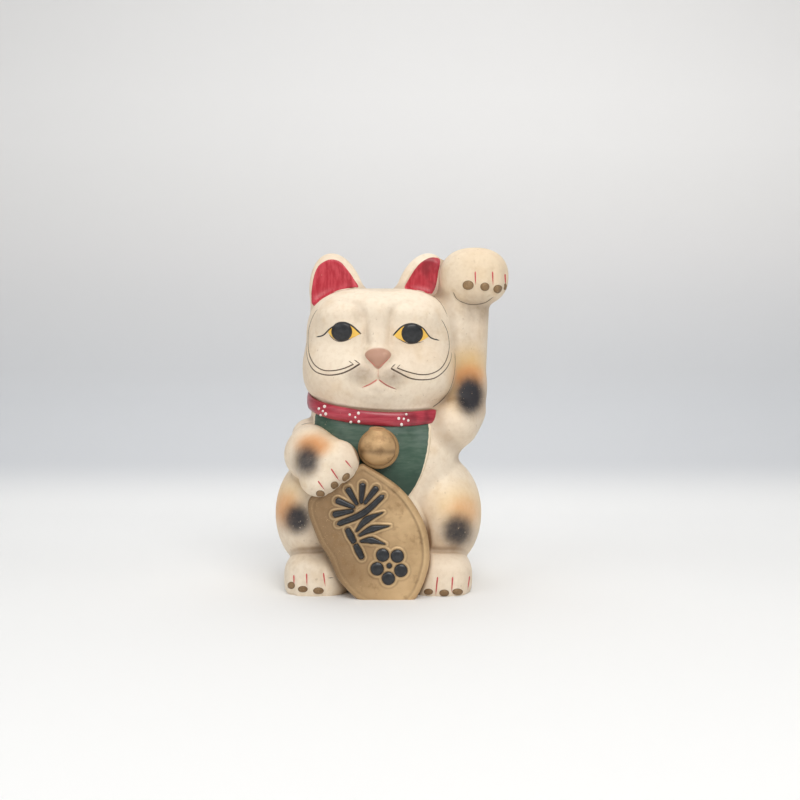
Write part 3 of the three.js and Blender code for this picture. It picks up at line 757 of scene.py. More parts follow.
CREAM = cream_clay()
RED = brushed_paint(
    "red collar paint", tint(118, 24, 40), tint(158, 36, 54), tint(182, 62, 76), 0.3, (60, 60, 500), 0.3
)
EAR_RED = brushed_paint(
    "red ear paint", tint(136, 18, 34), tint(178, 30, 48), tint(200, 66, 78), 0.4, (500, 500, 90), 0.15
)
GREEN = brushed_paint(
    "green bib paint", tint(36, 62, 48), tint(54, 82, 66), tint(78, 100, 84), 0.38, (90, 90, 420), 0.15, True
)
# The last colour is the painted shade over the koban's left side
GOLD = gold_clay(
    "worn gold paint", tint(180, 148, 107), tint(204, 172, 129), tint(142, 111, 74), tint(136, 108, 77)
)
BELL_GOLD = gold_clay("bell gold paint", tint(184, 148, 103), tint(213, 176, 130), tint(146, 111, 74))
# A darker gold for the bell's disc, as painted shade beside the bell
SHADED_DISC_GOLD = gold_clay("dark gold rim", tint(150, 118, 78), tint(176, 142, 98), tint(116, 86, 54))
INK = plain_stroke("black raised strokes", tint(24, 25, 28), tint(44, 46, 50), 0.36, 0.3)
LINE = plain_stroke("dark brown line", tint(70, 52, 40), tint(98, 76, 58), 0.6, faded=tint(128, 114, 98))
LASH = plain_stroke("black line", tint(40, 38, 38), tint(66, 62, 60), 0.5)
MOUTH_RED = plain_stroke(
    "red-brown line", tint(198, 112, 100), tint(212, 140, 124), 0.6, faded=tint(138, 78, 70)
)
TOE_RED = plain_stroke("red toe line", tint(186, 66, 70), tint(208, 110, 104), 0.6)
YELLOW = plain_stroke(
    "yellow eye paint", tint(228, 158, 34), tint(236, 178, 60), 0.35, 0.2, faded=tint(240, 198, 92)
)
PUPIL = plain_stroke("black eye paint", tint(20, 21, 24), tint(38, 40, 43), 0.38, 0.25)
CLAW = gold_clay("brown claw paint", tint(132, 104, 74), tint(158, 130, 96), tint(98, 76, 52))
DOT = plain_stroke("white dot paint", tint(240, 232, 226), tint(228, 214, 206), 0.45)


# The fused figure, parted into its castings
SEAM, SEAM_GAP, WALL, SLAB_TOP = 3.0, 0.05, 5.0, 9.5
SLOT_HALF, SLOT_LOW, SLOT_HIGH = 18, 96.5, 101.5
RAISED_MARGIN, LOWERED_MARGIN, LUTING_GAP = 7, 2.2, 0.5
FAR = 200
core = press(RUMP, *TRUNK, (head, 3))


def open_hollow(p):
    lifted = p.copy()
    lifted[:, 2] = np.maximum(p[:, 2], SLAB_TOP)
    return np.maximum(core(lifted) + WALL, -10 - p[:, 2])


def raised_cutter(p):
    return np.maximum(RAISED(p) - RAISED_MARGIN, LUTING_GAP - head_only(p))


def lowered_cutter(p):
    return np.maximum(LOWERED(p) - LOWERED_MARGIN, LUTING_GAP - np.minimum(HAUNCH_L(p), head(p)))


open_hollow.seeds = body.seeds[:6] + head.seeds[:3] + [((0, 0, 4), (44, 40, 14), 0.0)]
raised_cutter.seeds = [(c, tuple(h + 6 for h in half), t) for c, half, t in RAISED.seeds]
lowered_cutter.seeds = [(c, tuple(h + 2 for h in half), t) for c, half, t in LOWERED.seeds]

whole = clay("whole", figure, VOXEL)
hollow = clay("hollow", open_hollow, 3.0)
raised_tool = clay("raised tool", raised_cutter, 1.6)
lowered_tool = clay("lowered tool", lowered_cutter, 1.6)
front_half = cuboid("front half", (-FAR, -FAR, 0), (FAR, SEAM, 2 * FAR))
rear_half = cuboid("rear half", (-FAR, SEAM + SEAM_GAP, 0), (FAR, FAR, 2 * FAR))
slot_tool = cuboid("slot tool", (-SLOT_HALF, SEAM + 1, SLOT_LOW), (SLOT_HALF, FAR, SLOT_HIGH))

armless = [("DIFFERENCE", raised_tool), ("DIFFERENCE", lowered_tool)]
emptied = ("DIFFERENCE", hollow)
front = shape_by(copy_of(whole, "front_skin"), *armless, ("INTERSECT", front_half), emptied)
rear = shape_by(
    copy_of(whole, "rear_skin"), *armless, ("INTERSECT", rear_half), emptied, ("DIFFERENCE", slot_tool)
)
raised = shape_by(copy_of(whole, "raised_arm_skin"), ("INTERSECT", raised_tool))
lowered = shape_by(copy_of(whole, "lowered_arm_skin"), ("INTERSECT", lowered_tool))
drop(whole, hollow, raised_tool, lowered_tool, front_half, rear_half, slot_tool)

# Soft paint on the cream clay, partly painted shade: centre and half size in the picture, strength, and how
# far back it may lie
SOOT = [
    (469.8, 396, 14.5, 19.5, 1.0, 12), (457.5, 531, 16, 17, 0.84, 4), (297.5, 519, 14, 15.5, 0.88, 4),
    (307, 460.5, 13, 16.5, 0.81, -22),
]
ORANGE = [
    (469, 378, 15, 14, 0.85, 14), (464, 512, 16, 16, 0.5, 6), (286, 510, 13, 17, 0.66, 6),
    (313, 446, 16, 11, 0.85, -22),
]
TAN = [
    (469, 364, 16, 16, 0.9, 14), (460, 506, 24, 20, 0.65, 6), (288, 499, 15, 20, 0.6, 6),
    (317, 442, 17, 11, 0.5, -22), (456, 384, 8, 26, 0.4, 14), (484, 264, 34, 34, 0.3, 20),
]
# Grey: airbrush and dirty smudges on the face; painted shade on the raised wrist and forearm and along the
# top edge of the head
GREY_AND_SHADE = [
    (361.5, 373.5, 12, 8, 0.85, -20), (392, 376, 12, 8, 0.85, -20), (378, 391, 9, 4.5, 0.4, -20),
    (378, 401, 28, 11, 0.3, -20), (478, 310, 22, 13, 0.55, 0), (470, 350, 20, 30, 0.22, 12),
    (490, 400, 12, 40, 0.2, 20), (382, 288.6, 20, 2.4, 0.4, 20), (480, 268, 38, 36, 0.16, 20),
    (296, 428, 24, 20, 0.12, 10), (305, 565, 30, 20, 0.2, 0), (359.5, 311, 6, 8, 0.3, -20),
    (381, 321, 10, 7, 0.2, -20), (366, 339, 4, 9, 0.28, -20), (391.5, 313, 5, 8, 0.25, -20),
]


def soft_spots(p, spots, soft):
    px, py = in_picture(p)
    out = np.zeros(len(p))
    for cx, cy, rx, ry, strength, back in spots:
        r = np.hypot((px - cx) / rx, (py - cy) / ry)
        front = smooth_step(back + 8, back - 8, p[:, 1])
        out = np.maximum(out, strength * (1 - smooth_step(1 - soft, 1 + soft, r)) * front)
    return out


def paint_marks(obj):
    """Marks what each paint covers, with dirt and painted shade only where the clay is hollow, and little on
    the face.
    """
    p = points_of(obj.data)
    x, y, z = p.T
    n = unit(slope_of(figure, p, 0.4))
    px, py = in_picture(p)
    calm = smooth_step(114, 120, z) * smooth_step(-18, -30, y) * (np.abs(x - HEAD_SHIFT) < 44)
    calm = np.maximum(calm, smooth_step(0, 0.4, -looked_up(toe_relief, px, py)) * (y < -10))
    # A pale edge beside the koban, stronger on its upper right: partly the unpainted cream, partly painted
    # highlight
    beside = smooth_step(2.6, 1.2, koban_field(p)) * (y < -20)
    beside = beside * np.where(x > 0, smooth_step(36, 50, z), 0.6)
    mark(obj, "pale", beside)
    calm = np.maximum(calm, np.maximum(beside, 0.45 * smooth_step(34, 24, z)))
    # Both marks are dirt and painted shade: the less open room lies in front of the clay, the darker it is
    for name, reach, slack, free, gain in (("crease", 2.0, 0.9, 0, 1.8), ("grime", 5.0, 0.82, 1.6, 1.5)):
        ahead = p + n * reach
        open_room = np.minimum(figure(ahead), trimmings(ahead) + free)
        mark(obj, name, np.clip((reach * slack - open_room) / reach, 0, 1) * gain * (1 - 0.75 * calm))
    paints = (("soot", SOOT, 0.72), ("orange", ORANGE, 0.75), ("tan", TAN, 0.8), ("grey", GREY_AND_SHADE, 0.8))
    for name, spots, soft in paints:
        mark(obj, name, soft_spots(p, spots, soft))
    inside = np.where(y < -25, depth_inside(px, py, NOSE), -9)
    mark(obj, "pink", smooth_step(-1.2, 0.6 + 3.2 * smooth_step(356, 347, py), inside + 0.2))


# Koban: its edge in the plane of its face, as radii round its middle
KOBAN_MIDDLE, KOBAN_LEAN, KOBAN_FRONT = (-4.0, 38.0), math.radians(4), 61.5
KOBAN_RADII = (41.5, 34.8, 33.2, 35.6, 41, 48, 41.7, 33.2, 27.8, 32.2, 42.6, 38.8)
KOBAN_CORNER, CORNER_TURN = 43.4, 351.5
KOBAN_BACK, KOBAN_TAPER, TAPER_HEIGHT = 26, 0.91, 36
koban_turns = np.radians(np.append(np.arange(12) * 30, CORNER_TURN))
koban_rim = path_through(
    [(r * math.sin(a), r * math.cos(a)) for r, a in zip(KOBAN_RADII + (KOBAN_CORNER,), koban_turns)], True
)


def koban_place(x, up, out):
    """A point of the koban's face: across, up along the face, and out of it."""
    c, s = math.cos(KOBAN_LEAN), math.sin(KOBAN_LEAN)
    return np.stack([x, -KOBAN_FRONT + up * s - out * c, up * c + out * s], 1)


KOBAN_NORMAL = np.array([0, -math.cos(KOBAN_LEAN), math.sin(KOBAN_LEAN)])


def koban_reach(angle):
    x, up = koban_rim(np.linspace(0, 1, 721)).T
    a, r = np.unwrap(np.arctan2(x, up)), np.hypot(x, up)
    order = np.argsort(a)
    return np.interp((angle - a[order][0]) % (2 * math.pi) + a[order][0], a[order], r[order])


def koban_field(p):
    c, s = math.cos(KOBAN_LEAN), math.sin(KOBAN_LEAN)
    y, z = p[:, 1] + KOBAN_FRONT, p[:, 2]
    up, out = y * s + z * c, -(y * c - z * s)
    dx, dz = p[:, 0] - KOBAN_MIDDLE[0], up - KOBAN_MIDDLE[1]
    edge = np.hypot(dx, dz) - koban_reach(np.arctan2(dx, dz))
    return np.maximum(np.maximum(edge * 0.95, out), -out - 30)


COLLAR_FALL, COLLAR_SLOPE, COLLAR_LIFT = 0.0875, 0.2318, 0.9


def collar_plane(x, y):
    """The height of the collar's ring, which falls to the right and rises a little again at its free end."""
    return COLLAR_HEIGHT - COLLAR_FALL * x + COLLAR_SLOPE * y + 0.2 + COLLAR_LIFT * smooth_step(6, 30, x)


def collar_field(p):
    off = np.abs(p[:, 2] - collar_plane(p[:, 0], p[:, 1])) * 0.97 - 4.8
    return np.maximum(NECK(p) - 3, off)


def bell_field(p):
    return np.linalg.norm(p - np.array([0, -50, 91.2]), axis=1) - 13


def trimmings(p):
    return np.minimum(np.minimum(koban_field(p), collar_field(p)), bell_field(p))


CASTINGS = {"front_casting": front, "rear_casting": rear, "raised_arm": raised, "lowered_arm": lowered}
for node, obj in CASTINGS.items():
    paint_marks(obj)
    finish_piece(obj, CREAM, [node], 40)


# Strokes and patches of paint, laid through the picture onto the clay
def dome(u, v, height, edge):
    r = np.clip(u * u + v * v, 0, 1)
    return edge + (height - edge) * np.sqrt(1 - r)


def lay_on_clay(px, py, field=plain_figure):
    """Points of the clay seen at these places of the picture, and its normals there."""
    origins, sight = rays(px, py)
    place = trace(field, origins, sight, 480)
    if field is plain_figure:
        # Where an arm is pressed on, the clay stands a little in front of the plain figure.
        near = place - sight * 4
        free = figure(near) > 0.2
        if free.any():
            place[free] = trace(figure, near[free], sight[free], 0, 24)
    return place, unit(slope_of(field, place, 0.5))


def kept_small(places, middles, reach, field):
    """Draws places that lie farther than a reach from their middle back to it, along the clay."""
    away = places - middles
    size = np.maximum(np.linalg.norm(away, axis=1), 1e-6)
    far = size > reach
    places = places.copy()
    places[far] = settle(field, (middles + away * (reach / size)[:, None])[far])
    return places


def stroke(name, points, width, material, field=plain_figure, height=0.12, ends=(0.3, 0.3), fade=(0, 0)):
    """A brush stroke: points in the picture, width in its pixels from start to end."""
    line = path_through(points)
    length = np.linalg.norm(np.diff(line(np.linspace(0, 1, 60)), axis=0), axis=1).sum()
    first, last = width if isinstance(width, tuple) else (width, width)

    def lay(u, v):
        s = (u + 1) / 2
        at, ahead = line(s), unit(line(np.clip(s + 0.004, 0, 1)) - line(np.clip(s - 0.004, 0, 1)))
        swell = np.minimum(1, np.minimum(ends[0] + s * length / 3, ends[1] + (1 - s) * length / 6))
        off = v * (first + (last - first) * s) / 2 * swell
        place, normal = lay_on_clay(at[:, 0] - ahead[:, 1] * off, at[:, 1] + ahead[:, 0] * off, field)
        middle = lay_on_clay(at[:, 0], at[:, 1], field)[0]
        place = kept_small(place, middle, np.abs(off) * 1.25, field)
        return place, normal, height * (1 - v * v) ** 0.5 * swell - 0.03, 0.2

    def paleness(u, v):
        return fade[0] + (fade[1] - fade[0]) * (u + 1) / 2

    finish_piece(sheet_on(name, max(10, int(length / 1.5)), 6, lay, paleness), material)


def patch(name, centre, size, material, field, height, n, edge=-0.04, turn=0.0):
    """An oval of paint or a low dome: centre and full size in the picture's pixels."""
    c, s = math.cos(math.radians(turn)), math.sin(math.radians(turn))

    def lay(u, v):
        a, b = to_disc(u, v)
        x, y = a * size[0] / 2, b * size[1] / 2
        place, normal = lay_on_clay(centre[0] + x * c - y * s, centre[1] + x * s + y * c, field)
        middle = lay_on_clay(np.full_like(x, centre[0]), np.full_like(x, centre[1]), field)[0]
        place = kept_small(place, middle, np.hypot(x, y) * 0.95, field)
        return place, normal, dome(a, b, height, edge), 0.3

    finish_piece(sheet_on(name, n, n, lay, from_middle), material)


FOLD = -8.0  # the ears' red paint comes no farther forward


def line_ear(name, outline):
    """Red paint within a closed outline in the picture, ending in the fold in front of the ear."""
    around = path_through(outline, True)(np.linspace(0, 1, 361))
    middle = around.mean(0)
    angle = np.arctan2(around[:, 1] - middle[1], around[:, 0] - middle[0])
    reach = np.hypot(*(around - middle).T)
    order = np.argsort(angle)

    def lay(u, v):
        a, b = to_disc(u, v)
        r, t = np.hypot(a, b), np.arctan2(b, a)
        far = np.interp(t, angle[order], reach[order], period=2 * math.pi)
        px, py = middle[0] + np.cos(t) * r * far, middle[1] + np.sin(t) * r * far
        place, normal = lay_on_clay(px, py)
        origins, sight = rays(px, py)
        place = place + sight * (np.maximum(FOLD - place[:, 1], 0) / sight[:, 1])[:, None]
        return place, normal, np.where(r > 0.985, -0.03, 0.12), 0.3

    finish_piece(sheet_on(name, 40, 40, lay, from_middle), EAR_RED)


def eye(name, lower, upper, pupil, lash, under):
    """The yellow almond, the round pupil and its dark lids."""
    low, high = path_through(lower), path_through(upper)

    def lay(u, v):
        s, t = (u + 1) / 2, (v + 1) / 2
        at = low(s) + (high(s) - low(s)) * t[:, None]
        place, normal = lay_on_clay(at[:, 0], at[:, 1])
        return place, normal, 0.1 + 0 * u, 0.3

    def corners(u, v):
        return 1 - (1 - np.abs(u)) * (v + 3) / 4

    finish_piece(sheet_on(name + "_yellow", 26, 12, lay, corners), YELLOW)
    (cx, cy), (w, h) = pupil
    patch(name + "_pupil_edge", (cx, cy), (w + 1.4, h + 1.4), LASH, plain_figure, 0.2, 18, 0.14)
    patch(name + "_pupil", (cx, cy), (w - 0.6, h - 0.6), PUPIL, plain_figure, 0.6, 18, 0.16)
    stroke(name + "_lash", lash, (1.2, 1.9), LASH, height=0.34, ends=(0.25, 0.6))
    stroke(name + "_under", under, 0.8, LINE, height=0.2, fade=(0.3, 0.6))


eye(
    "left_eye",
    [(328, 332.6), (334.7, 339.2), (341.8, 341), (352, 338), (360.4, 334)],
    [(328, 332.4), (331.6, 327.6), (341.8, 322.6), (351, 325.4), (360.4, 333.8)],
    ((341.8, 331.6), (19.4, 18.4)),
    [(316.4, 337), (323.5, 335), (330.6, 328.3), (341.8, 322.6), (351, 325.2), (361, 334)],
    [(329, 334.5), (334.7, 340), (341.8, 341.6), (352, 338.6)],
)
eye(
    "right_eye",
    [(393.6, 335.2), (400, 340), (412.2, 343), (421, 341), (428.4, 336.8)],
    [(393.6, 335), (402, 326.8), (412.2, 323.9), (422.4, 328), (428.4, 336.4)],
    ((412.2, 333.4), (20.2, 19.2)),
    [(439.5, 340.4), (430.5, 337.4), (422.4, 327.8), (412.2, 323.7), (402, 326.6), (393, 335.6)],
    [(396, 337.5), (406, 342.8), (412.2, 343.7), (424, 341.5)],
)

WHISKERS = {
    "left_outer": [
        (354, 359.6), (359.9, 363.8), (349, 370.4), (338.8, 374.1), (326.5, 375), (315.3, 371.4), (309, 363),
        (306.3, 351), (306.6, 340),
    ],
    "left_inner": [
        (348.5, 360.8), (353.6, 364.2), (343.9, 368.4), (333.7, 370.6), (323.5, 370.2), (315.3, 365.5),
        (310.2, 357.3), (308.2, 347.1), (308.3, 332.9), (310.4, 322.7), (314.3, 313.5), (318.6, 308),
    ],
    "right_outer": [
        (395.4, 363.8), (391, 368.4), (400, 373.2), (410.2, 378.2), (422.4, 379.8), (434.7, 378),
        (444.9, 370.3), (450.6, 360), (451.8, 350),
    ],
    "right_inner": [
        (400.5, 364.4), (397, 367.8), (407.1, 371.6), (420.4, 374.6), (431.6, 373.5), (440.8, 368.4),
        (446.6, 359.2), (449.3, 347.1), (448, 333.9), (444.5, 324.7), (440.5, 318.2),
    ],
}
for name, points in WHISKERS.items():
    tip, rest = points[:2], points[1:]
    thick = 1.9 if "outer" in name else 1.4
    stroke(f"whisker_{name}_tip", tip, (0.8, thick * 0.9), LINE, height=0.18)
    stroke(f"whisker_{name}", rest, (thick, 0.75), LINE, height=0.18, ends=(0.8, 0.2), fade=(0, 1))
stroke("mouth_left", MOUTH[0], (1.7, 1.1), MOUTH_RED, height=0.3)
stroke("mouth_right", MOUTH[1], (1.7, 1.1), MOUTH_RED, height=0.3, fade=(0.2, 0.8))
stroke("philtrum", PHILTRUM, 0.9, MOUTH_RED, height=0.1)
for side, direction in (("left", -1), ("right", 1)):
    nostril = [(378 + direction * 12.4, 356.8), (378 + direction * 7.4, 361.9), (378, 368.3)]
    stroke(f"nose_{side}", nostril, (0.6, 1.4), MOUTH_RED, height=0.1)

TOE_LINES = {
    "raised": [[(475.2, 271.5), (475.6, 286)], [(492.6, 271.5), (493, 286)], [(505, 274), (505.6, 286)]],
    "lowered": [[(345.4, 460.4), (352.6, 469)], [(331, 468.6), (339.8, 481.6)], [(318, 481), (325, 490.6)]],
    "left_foot": [[(293.8, 575), (294.2, 586)], [(306.6, 573.5), (307, 587)], [(323.4, 573), (325.4, 587)]],
    "right_foot": [[(437.6, 577), (435.6, 596)], [(452.6, 577), (451.6, 593)], [(469.6, 576), (467.6, 590)]],
}
CLAWS = {
    "raised": [
        (468.1, 285.2, 11.4, 9.6), (484.9, 286.8, 9.4, 8.6), (498.1, 289.2, 9.6, 8.8), (505.2, 287, 3.4, 7),
    ],
    "lowered": [(346, 477.2, 6.5, 9.6, 40), (334.6, 485.4, 8, 8, 40), (320.4, 493.8, 9, 7, 10)],
    "left_foot": [(291.2, 585.4, 7.6, 7.4), (302.8, 589.2, 10, 6.6), (318.4, 590.8, 10.8, 7)],
    "right_foot": [(428.4, 591.8, 9.4, 6.4), (444.2, 593, 10, 7), (457.6, 591.8, 11, 6.6)],
}
for part in TOE_LINES:
    for i, line in enumerate(TOE_LINES[part]):
        stroke(f"toe_{part}_{i}", line, (1.7, 0.9), TOE_RED, field=figure, height=0.4, ends=(0.5, 0.1))
    for i, (x, y, w, h, *turn) in enumerate(CLAWS[part]):
        patch(f"claw_{part}_{i}", (x, y), (w, h), CLAW, figure, 0.8, 12, turn=turn[0] if turn else 0)
stroke("toe_left_foot_side", [(328.4, 578), (333.6, 577.6)], 1.0, LINE, field=figure)

# Where the raised arm is luted to the head
SEAM_TOP = [(433.6, 296), (437.4, 299.4), (441.4, 304), (445.4, 311), (448.4, 318.6)]
SEAM_LOW = [
    (454.8, 352), (455.2, 364), (453.8, 377), (450, 389), (444.4, 397.4), (438, 403.4), (432.6, 407.2),
]
stroke("seam_above_cheek", SEAM_TOP, (1.4, 0.7), LINE, field=figure, ends=(0.5, 0.1), fade=(0.2, 1))
stroke("seam_below_cheek", SEAM_LOW, (0.6, 1.2), LINE, field=figure, ends=(0.1, 0.4), fade=(0.8, 0.3))
# The palm's fold: a dark line of painted shade
stroke("palm_fold", PALM, (0.9, 0.8), LINE, field=figure, height=0.3, ends=(0.2, 0.2), fade=(0.9, 0.9))
stroke("shoulder_fold", [(301, 425), (306.5, 423.4), (313.4, 422.8)], 0.9, LINE, field=figure, fade=(1, 0.7))

line_ear(
    "left_ear_lining",
    [
        (315.9, 305.7), (311.9, 304.4), (311.1, 298.6), (311.7, 287.4), (314.3, 274.6), (318.3, 266),
        (326.2, 260.3), (333.4, 259.2), (340.6, 261.9), (347, 269), (353.3, 277.8), (358.6, 287),
        (350.2, 288), (338.6, 290.2), (327, 296.2), (320.5, 302.2),
    ],
)
line_ear(
    "right_ear_lining",
    [
        (404.6, 288), (407.6, 281), (415.5, 268.3), (422.7, 261.1), (429.9, 257.6), (435.5, 257.4),
        (440.4, 260), (438.6, 271.5), (436.4, 284.2), (433.6, 291.4), (430.4, 294), (420.3, 290.6),
        (410.7, 289.3),
    ],
)

# Collar: a rounded band along the tilted ring of the neck, thicker at its free end by the raised arm
PROFILE = [
    (-1.2, -4.4), (1.6, -4.5), (2.7, -3.8), (3.1, -2.0), (3.2, 0), (3.1, 2.0), (2.7, 3.9), (1.6, 4.6),
    (-1.2, 4.5),
]
FREE_END = 1.05


def neck_ring(turn):
    d = np.stack([np.sin(turn), -np.cos(turn), np.zeros_like(turn)], 1)
    r = np.full(len(turn), 42.0)
    for _ in range(30):
        p = d * r[:, None]
        p[:, 2] = collar_plane(p[:, 0], p[:, 1])
        r = r - NECK(p) * 0.9
    return p


def collar_band():
    bm = bmesh.new()
    bmesh.ops.create_grid(bm, x_segments=200, y_segments=len(PROFILE), size=1)
    uv = np.array([v.co[:2] for v in bm.verts])
    turn = (uv[:, 0] + 1) * math.pi
    ring = neck_ring(turn)
    out = unit(np.column_stack([slope_of(NECK, ring)[:, :2], np.zeros(len(ring))]))
    step = np.round((uv[:, 1] + 1) / 2 * len(PROFILE)).astype(int) % len(PROFILE)
    away, along = np.array(PROFILE)[step].T
    away = away + (2.0 - along * 0.3) * hump(turn, FREE_END, 0.2)
    points = ring + out * away[:, None] + np.array([0, 0, 1]) * along[:, None]
    for v, p in zip(bm.verts, points):
        v.co = p
    bmesh.ops.remove_doubles(bm, verts=bm.verts[:], dist=0.01)
    bmesh.ops.recalc_face_normals(bm, faces=bm.faces[:])
    return object_from(bm, "collar_band")


finish_piece(collar_band(), RED, ["collar"], 60)


def on_collar(p):
    """The band as a rounded ring, for the dots to lie on."""
    level = np.column_stack([p[:, 0], p[:, 1], collar_plane(p[:, 0], p[:, 1])])
    away = NECK(level)
    along = p[:, 2] - level[:, 2] - 0.2 * away
    return np.hypot(np.maximum(away - 1.7, 0), np.maximum(np.abs(along) - 3.2, 0)) - 1.5


DOTS = [
    (318.7, 408.7), (324.4, 406.5), (322.8, 411), (325.6, 413.9), (320.4, 415.4),
    (349.7, 414.6), (358.4, 413.2), (355.3, 417.3), (350.7, 422.3), (358.8, 421.6),
    (406.4, 414.2), (398.8, 418.5), (403.8, 418.9), (408.3, 420.4), (401.6, 424.6),
]
for i, (x, y) in enumerate(DOTS):
    size = 2.7 + 0.4 * math.sin(i * 2.4)
    patch(f"collar_dot_{i}", (x, y), (size, size * 1.1), DOT, on_collar, 0.35, 6)

# Bib: a thin shield laid over the chest, its top tucked under the collar
BIB_LEFT, BIB_RIGHT = 41.7, 34.5
BIB_UPPER, BIB_LOWER, BIB_POINT = 79, 59, 45.0


def cubic(t, a, b, c, d):
    return a * (1 - t) ** 3 + 3 * (1 - t) ** 2 * t * b + 3 * (1 - t) * t**2 * c + t**3 * d


def lay_bib(u, v):
    t = (1 - v) / 2
    x = u * np.where(u < 0, BIB_LEFT, BIB_RIGHT) * cubic(t, 1, 1, 0.77, 0)
    front = np.full_like(x, -43.0)
    for _ in range(3):
        height = cubic(t, collar_plane(x, front) - 2.5, BIB_UPPER, BIB_LOWER, BIB_POINT)
        origins = np.stack([x, np.full_like(x, -120.0), height], 1)
        place = trace(body_and_head, origins, np.tile([0.0, 1.0, 0.0], (len(x), 1)), 0)
        front = place[:, 1]
    edge = np.minimum(np.minimum(1 - np.abs(u), 1 - t) * 30, 0.2 + t * 12)
    return place, unit(slope_of(body_and_head, place, 1.0)), 0.1 + 1.5 * smooth_step(0, 1.4, edge), 1.0


def bib_rim(u, v):
    return smooth_step(0.9, 0.965, np.maximum(np.abs(u), -v))


finish_piece(sheet_on("bib_sheet", 90, 90, lay_bib, bib_rim), GREEN, ["bib"], 60)


# Bell: a round drop with a band across, on a thin disc whose edge shows beside it
BELL_X, BELL_Z, BELL_BAND, DISC_RADIUS = 1.1, 90.7, 88.6, 12.6
bell_neck = limb((BELL_X, -51, 94.5), (0.8, -52.4, 103.4), 9, 4.6)
bell_body = press(block((BELL_X, -50, BELL_Z), (23.3, 19, 22), 2.1), (bell_neck, 2))


def bell_band(p, width):
    return hump(p[:, 2], BELL_BAND, width) * smooth_step(-50, -54, p[:, 1])


def bell_with_band(p):
    return np.maximum(bell_body(p) + 0.4 * bell_band(p, 1.5), p[:, 2] - collar_plane(p[:, 0], p[:, 1]) + 3.2)


bell_with_band.seeds = bell_body.seeds
bell = clay("bell_clay", bell_with_band, 0.4)
p = points_of(bell.data)
# Painted shade in the groove of the band and in the ring where the bell meets its disc
seat = hump(np.hypot(p[:, 0] - BELL_X, p[:, 2] - BELL_Z), 11.6, 0.8) * smooth_step(99, 95, p[:, 2]) * 0.9
mark(bell, "crease", np.maximum(bell_band(p, 1.9) * 0.55, seat * (p[:, 1] > -55.4)))
finish_piece(bell, BELL_GOLD, ["bell"])
# The disc behind the bell, in the darker gold that paints its shade
bm = bmesh.new()
place = Matrix.Translation((1.6, -51.1, 90.4)) @ Matrix.Rotation(math.pi / 2, 4, "X")
bmesh.ops.create_cone(
    bm, cap_ends=True, segments=72, radius1=DISC_RADIUS, radius2=DISC_RADIUS, depth=2.8, matrix=place
)
rim = [e for e in bm.edges if len({round(v.co.y, 3) for v in e.verts}) == 1]
bmesh.ops.bevel(bm, geom=rim, offset=0.9, segments=3, profile=0.5, affect="EDGES", material=-1)
finish_piece(object_from(bm, "bell_disc"), SHADED_DISC_GOLD, ["bell"], 50)


# Koban plate
def koban_plate():
    bm = bmesh.new()
    n = 170
    bmesh.ops.create_grid(bm, x_segments=n, y_segments=n, size=1)
    uv = np.array([v.co[:2] for v in bm.verts])
    a, b = to_disc(uv[:, 0], uv[:, 1])
    r, t = np.hypot(a, b), np.arctan2(a, b)
    reach = koban_reach(t)
    edge = (1 - r) * reach
    x, up = KOBAN_MIDDLE[0] + a * reach, KOBAN_MIDDLE[1] + b * reach
    ripple = 0.1 * np.sin(up * 0.9 + 2.2 * np.sin(x * 0.17)) + 0.08 * np.sin(x * 1.1 + up * 0.3)
    rounded = -3 + 3 * np.sqrt(np.clip(1 - (1 - np.clip(edge / 3, 0, 1)) ** 2, 0, 1))
    strong = 0.25 + 0.75 * np.clip(np.sin(t) + 0.35 * np.cos(t), 0, 1)
    ink = from_ornament(x, up)
    rise = 0.45 * hump(ink, 0.7, 0.7)
    field = (ripple * smooth_step(0.5, 3, ink) + rise) * smooth_step(3.5, 6, edge)
    height = rounded - 0.45 * strong * hump(edge, 4.4, 0.9) + field
    points = koban_place(x, up, height - 0.05)
    hollow, worn = bm.verts.layers.float.new("crease"), bm.verts.layers.float.new("worn")
    # Dirt and painted shade: darker in the rim's groove, more to the right, and in lines at and beyond the
    # foot of the raised ink
    dark = 0.5 * strong * hump(edge, 4.4, 0.8) + 0.5 * hump(ink, 0.1, 0.4) + 0.3 * hump(ink, 1.9, 0.5)
    # Wear and painted highlight: paler on the ridge round the ink and on the rim's ridge, more to the right
    bright = hump(ink, 0.9, 0.5) + strong * hump(edge, 3.2, 0.6)
    for v, p, d, b in zip(bm.verts, points, dark, bright):
        v.co = p
        v[hollow], v[worn] = d, b
    rim = [e for e in bm.edges if e.is_boundary]
    made = bmesh.ops.extrude_edge_only(bm, edges=rim)["geom"]
    pivot = Vector((KOBAN_MIDDLE[0], 0, TAPER_HEIGHT))
    for v in (g for g in made if isinstance(g, bmesh.types.BMVert)):
        x, y, z = pivot + (v.co - pivot) * KOBAN_TAPER
        v.co = (x, v.co.y + KOBAN_BACK, z)
    bmesh.ops.holes_fill(bm, edges=[e for e in bm.edges if e.is_boundary], sides=0)
    everything = bm.verts[:] + bm.edges[:] + bm.faces[:]
    low = bmesh.ops.bisect_plane(
        bm, geom=everything, plane_co=(0, 0, 0.01), plane_no=(0, 0, -1), clear_outer=True
    )
    cut = [g for g in low["geom_cut"] if isinstance(g, bmesh.types.BMEdge)]
    bmesh.ops.triangle_fill(bm, use_beauty=True, edges=cut)
    bmesh.ops.recalc_face_normals(bm, faces=bm.faces[:])
    return object_from(bm, "koban_gold")


TILT = math.radians(32)


def on_koban(x, up):
    """Turns the ornament's own upright drawing into place on the leaning koban."""
    c, s = math.cos(TILT), math.sin(TILT)
    return KOBAN_MIDDLE[0] + x * c - up * s, KOBAN_MIDDLE[1] + x * s + up * c


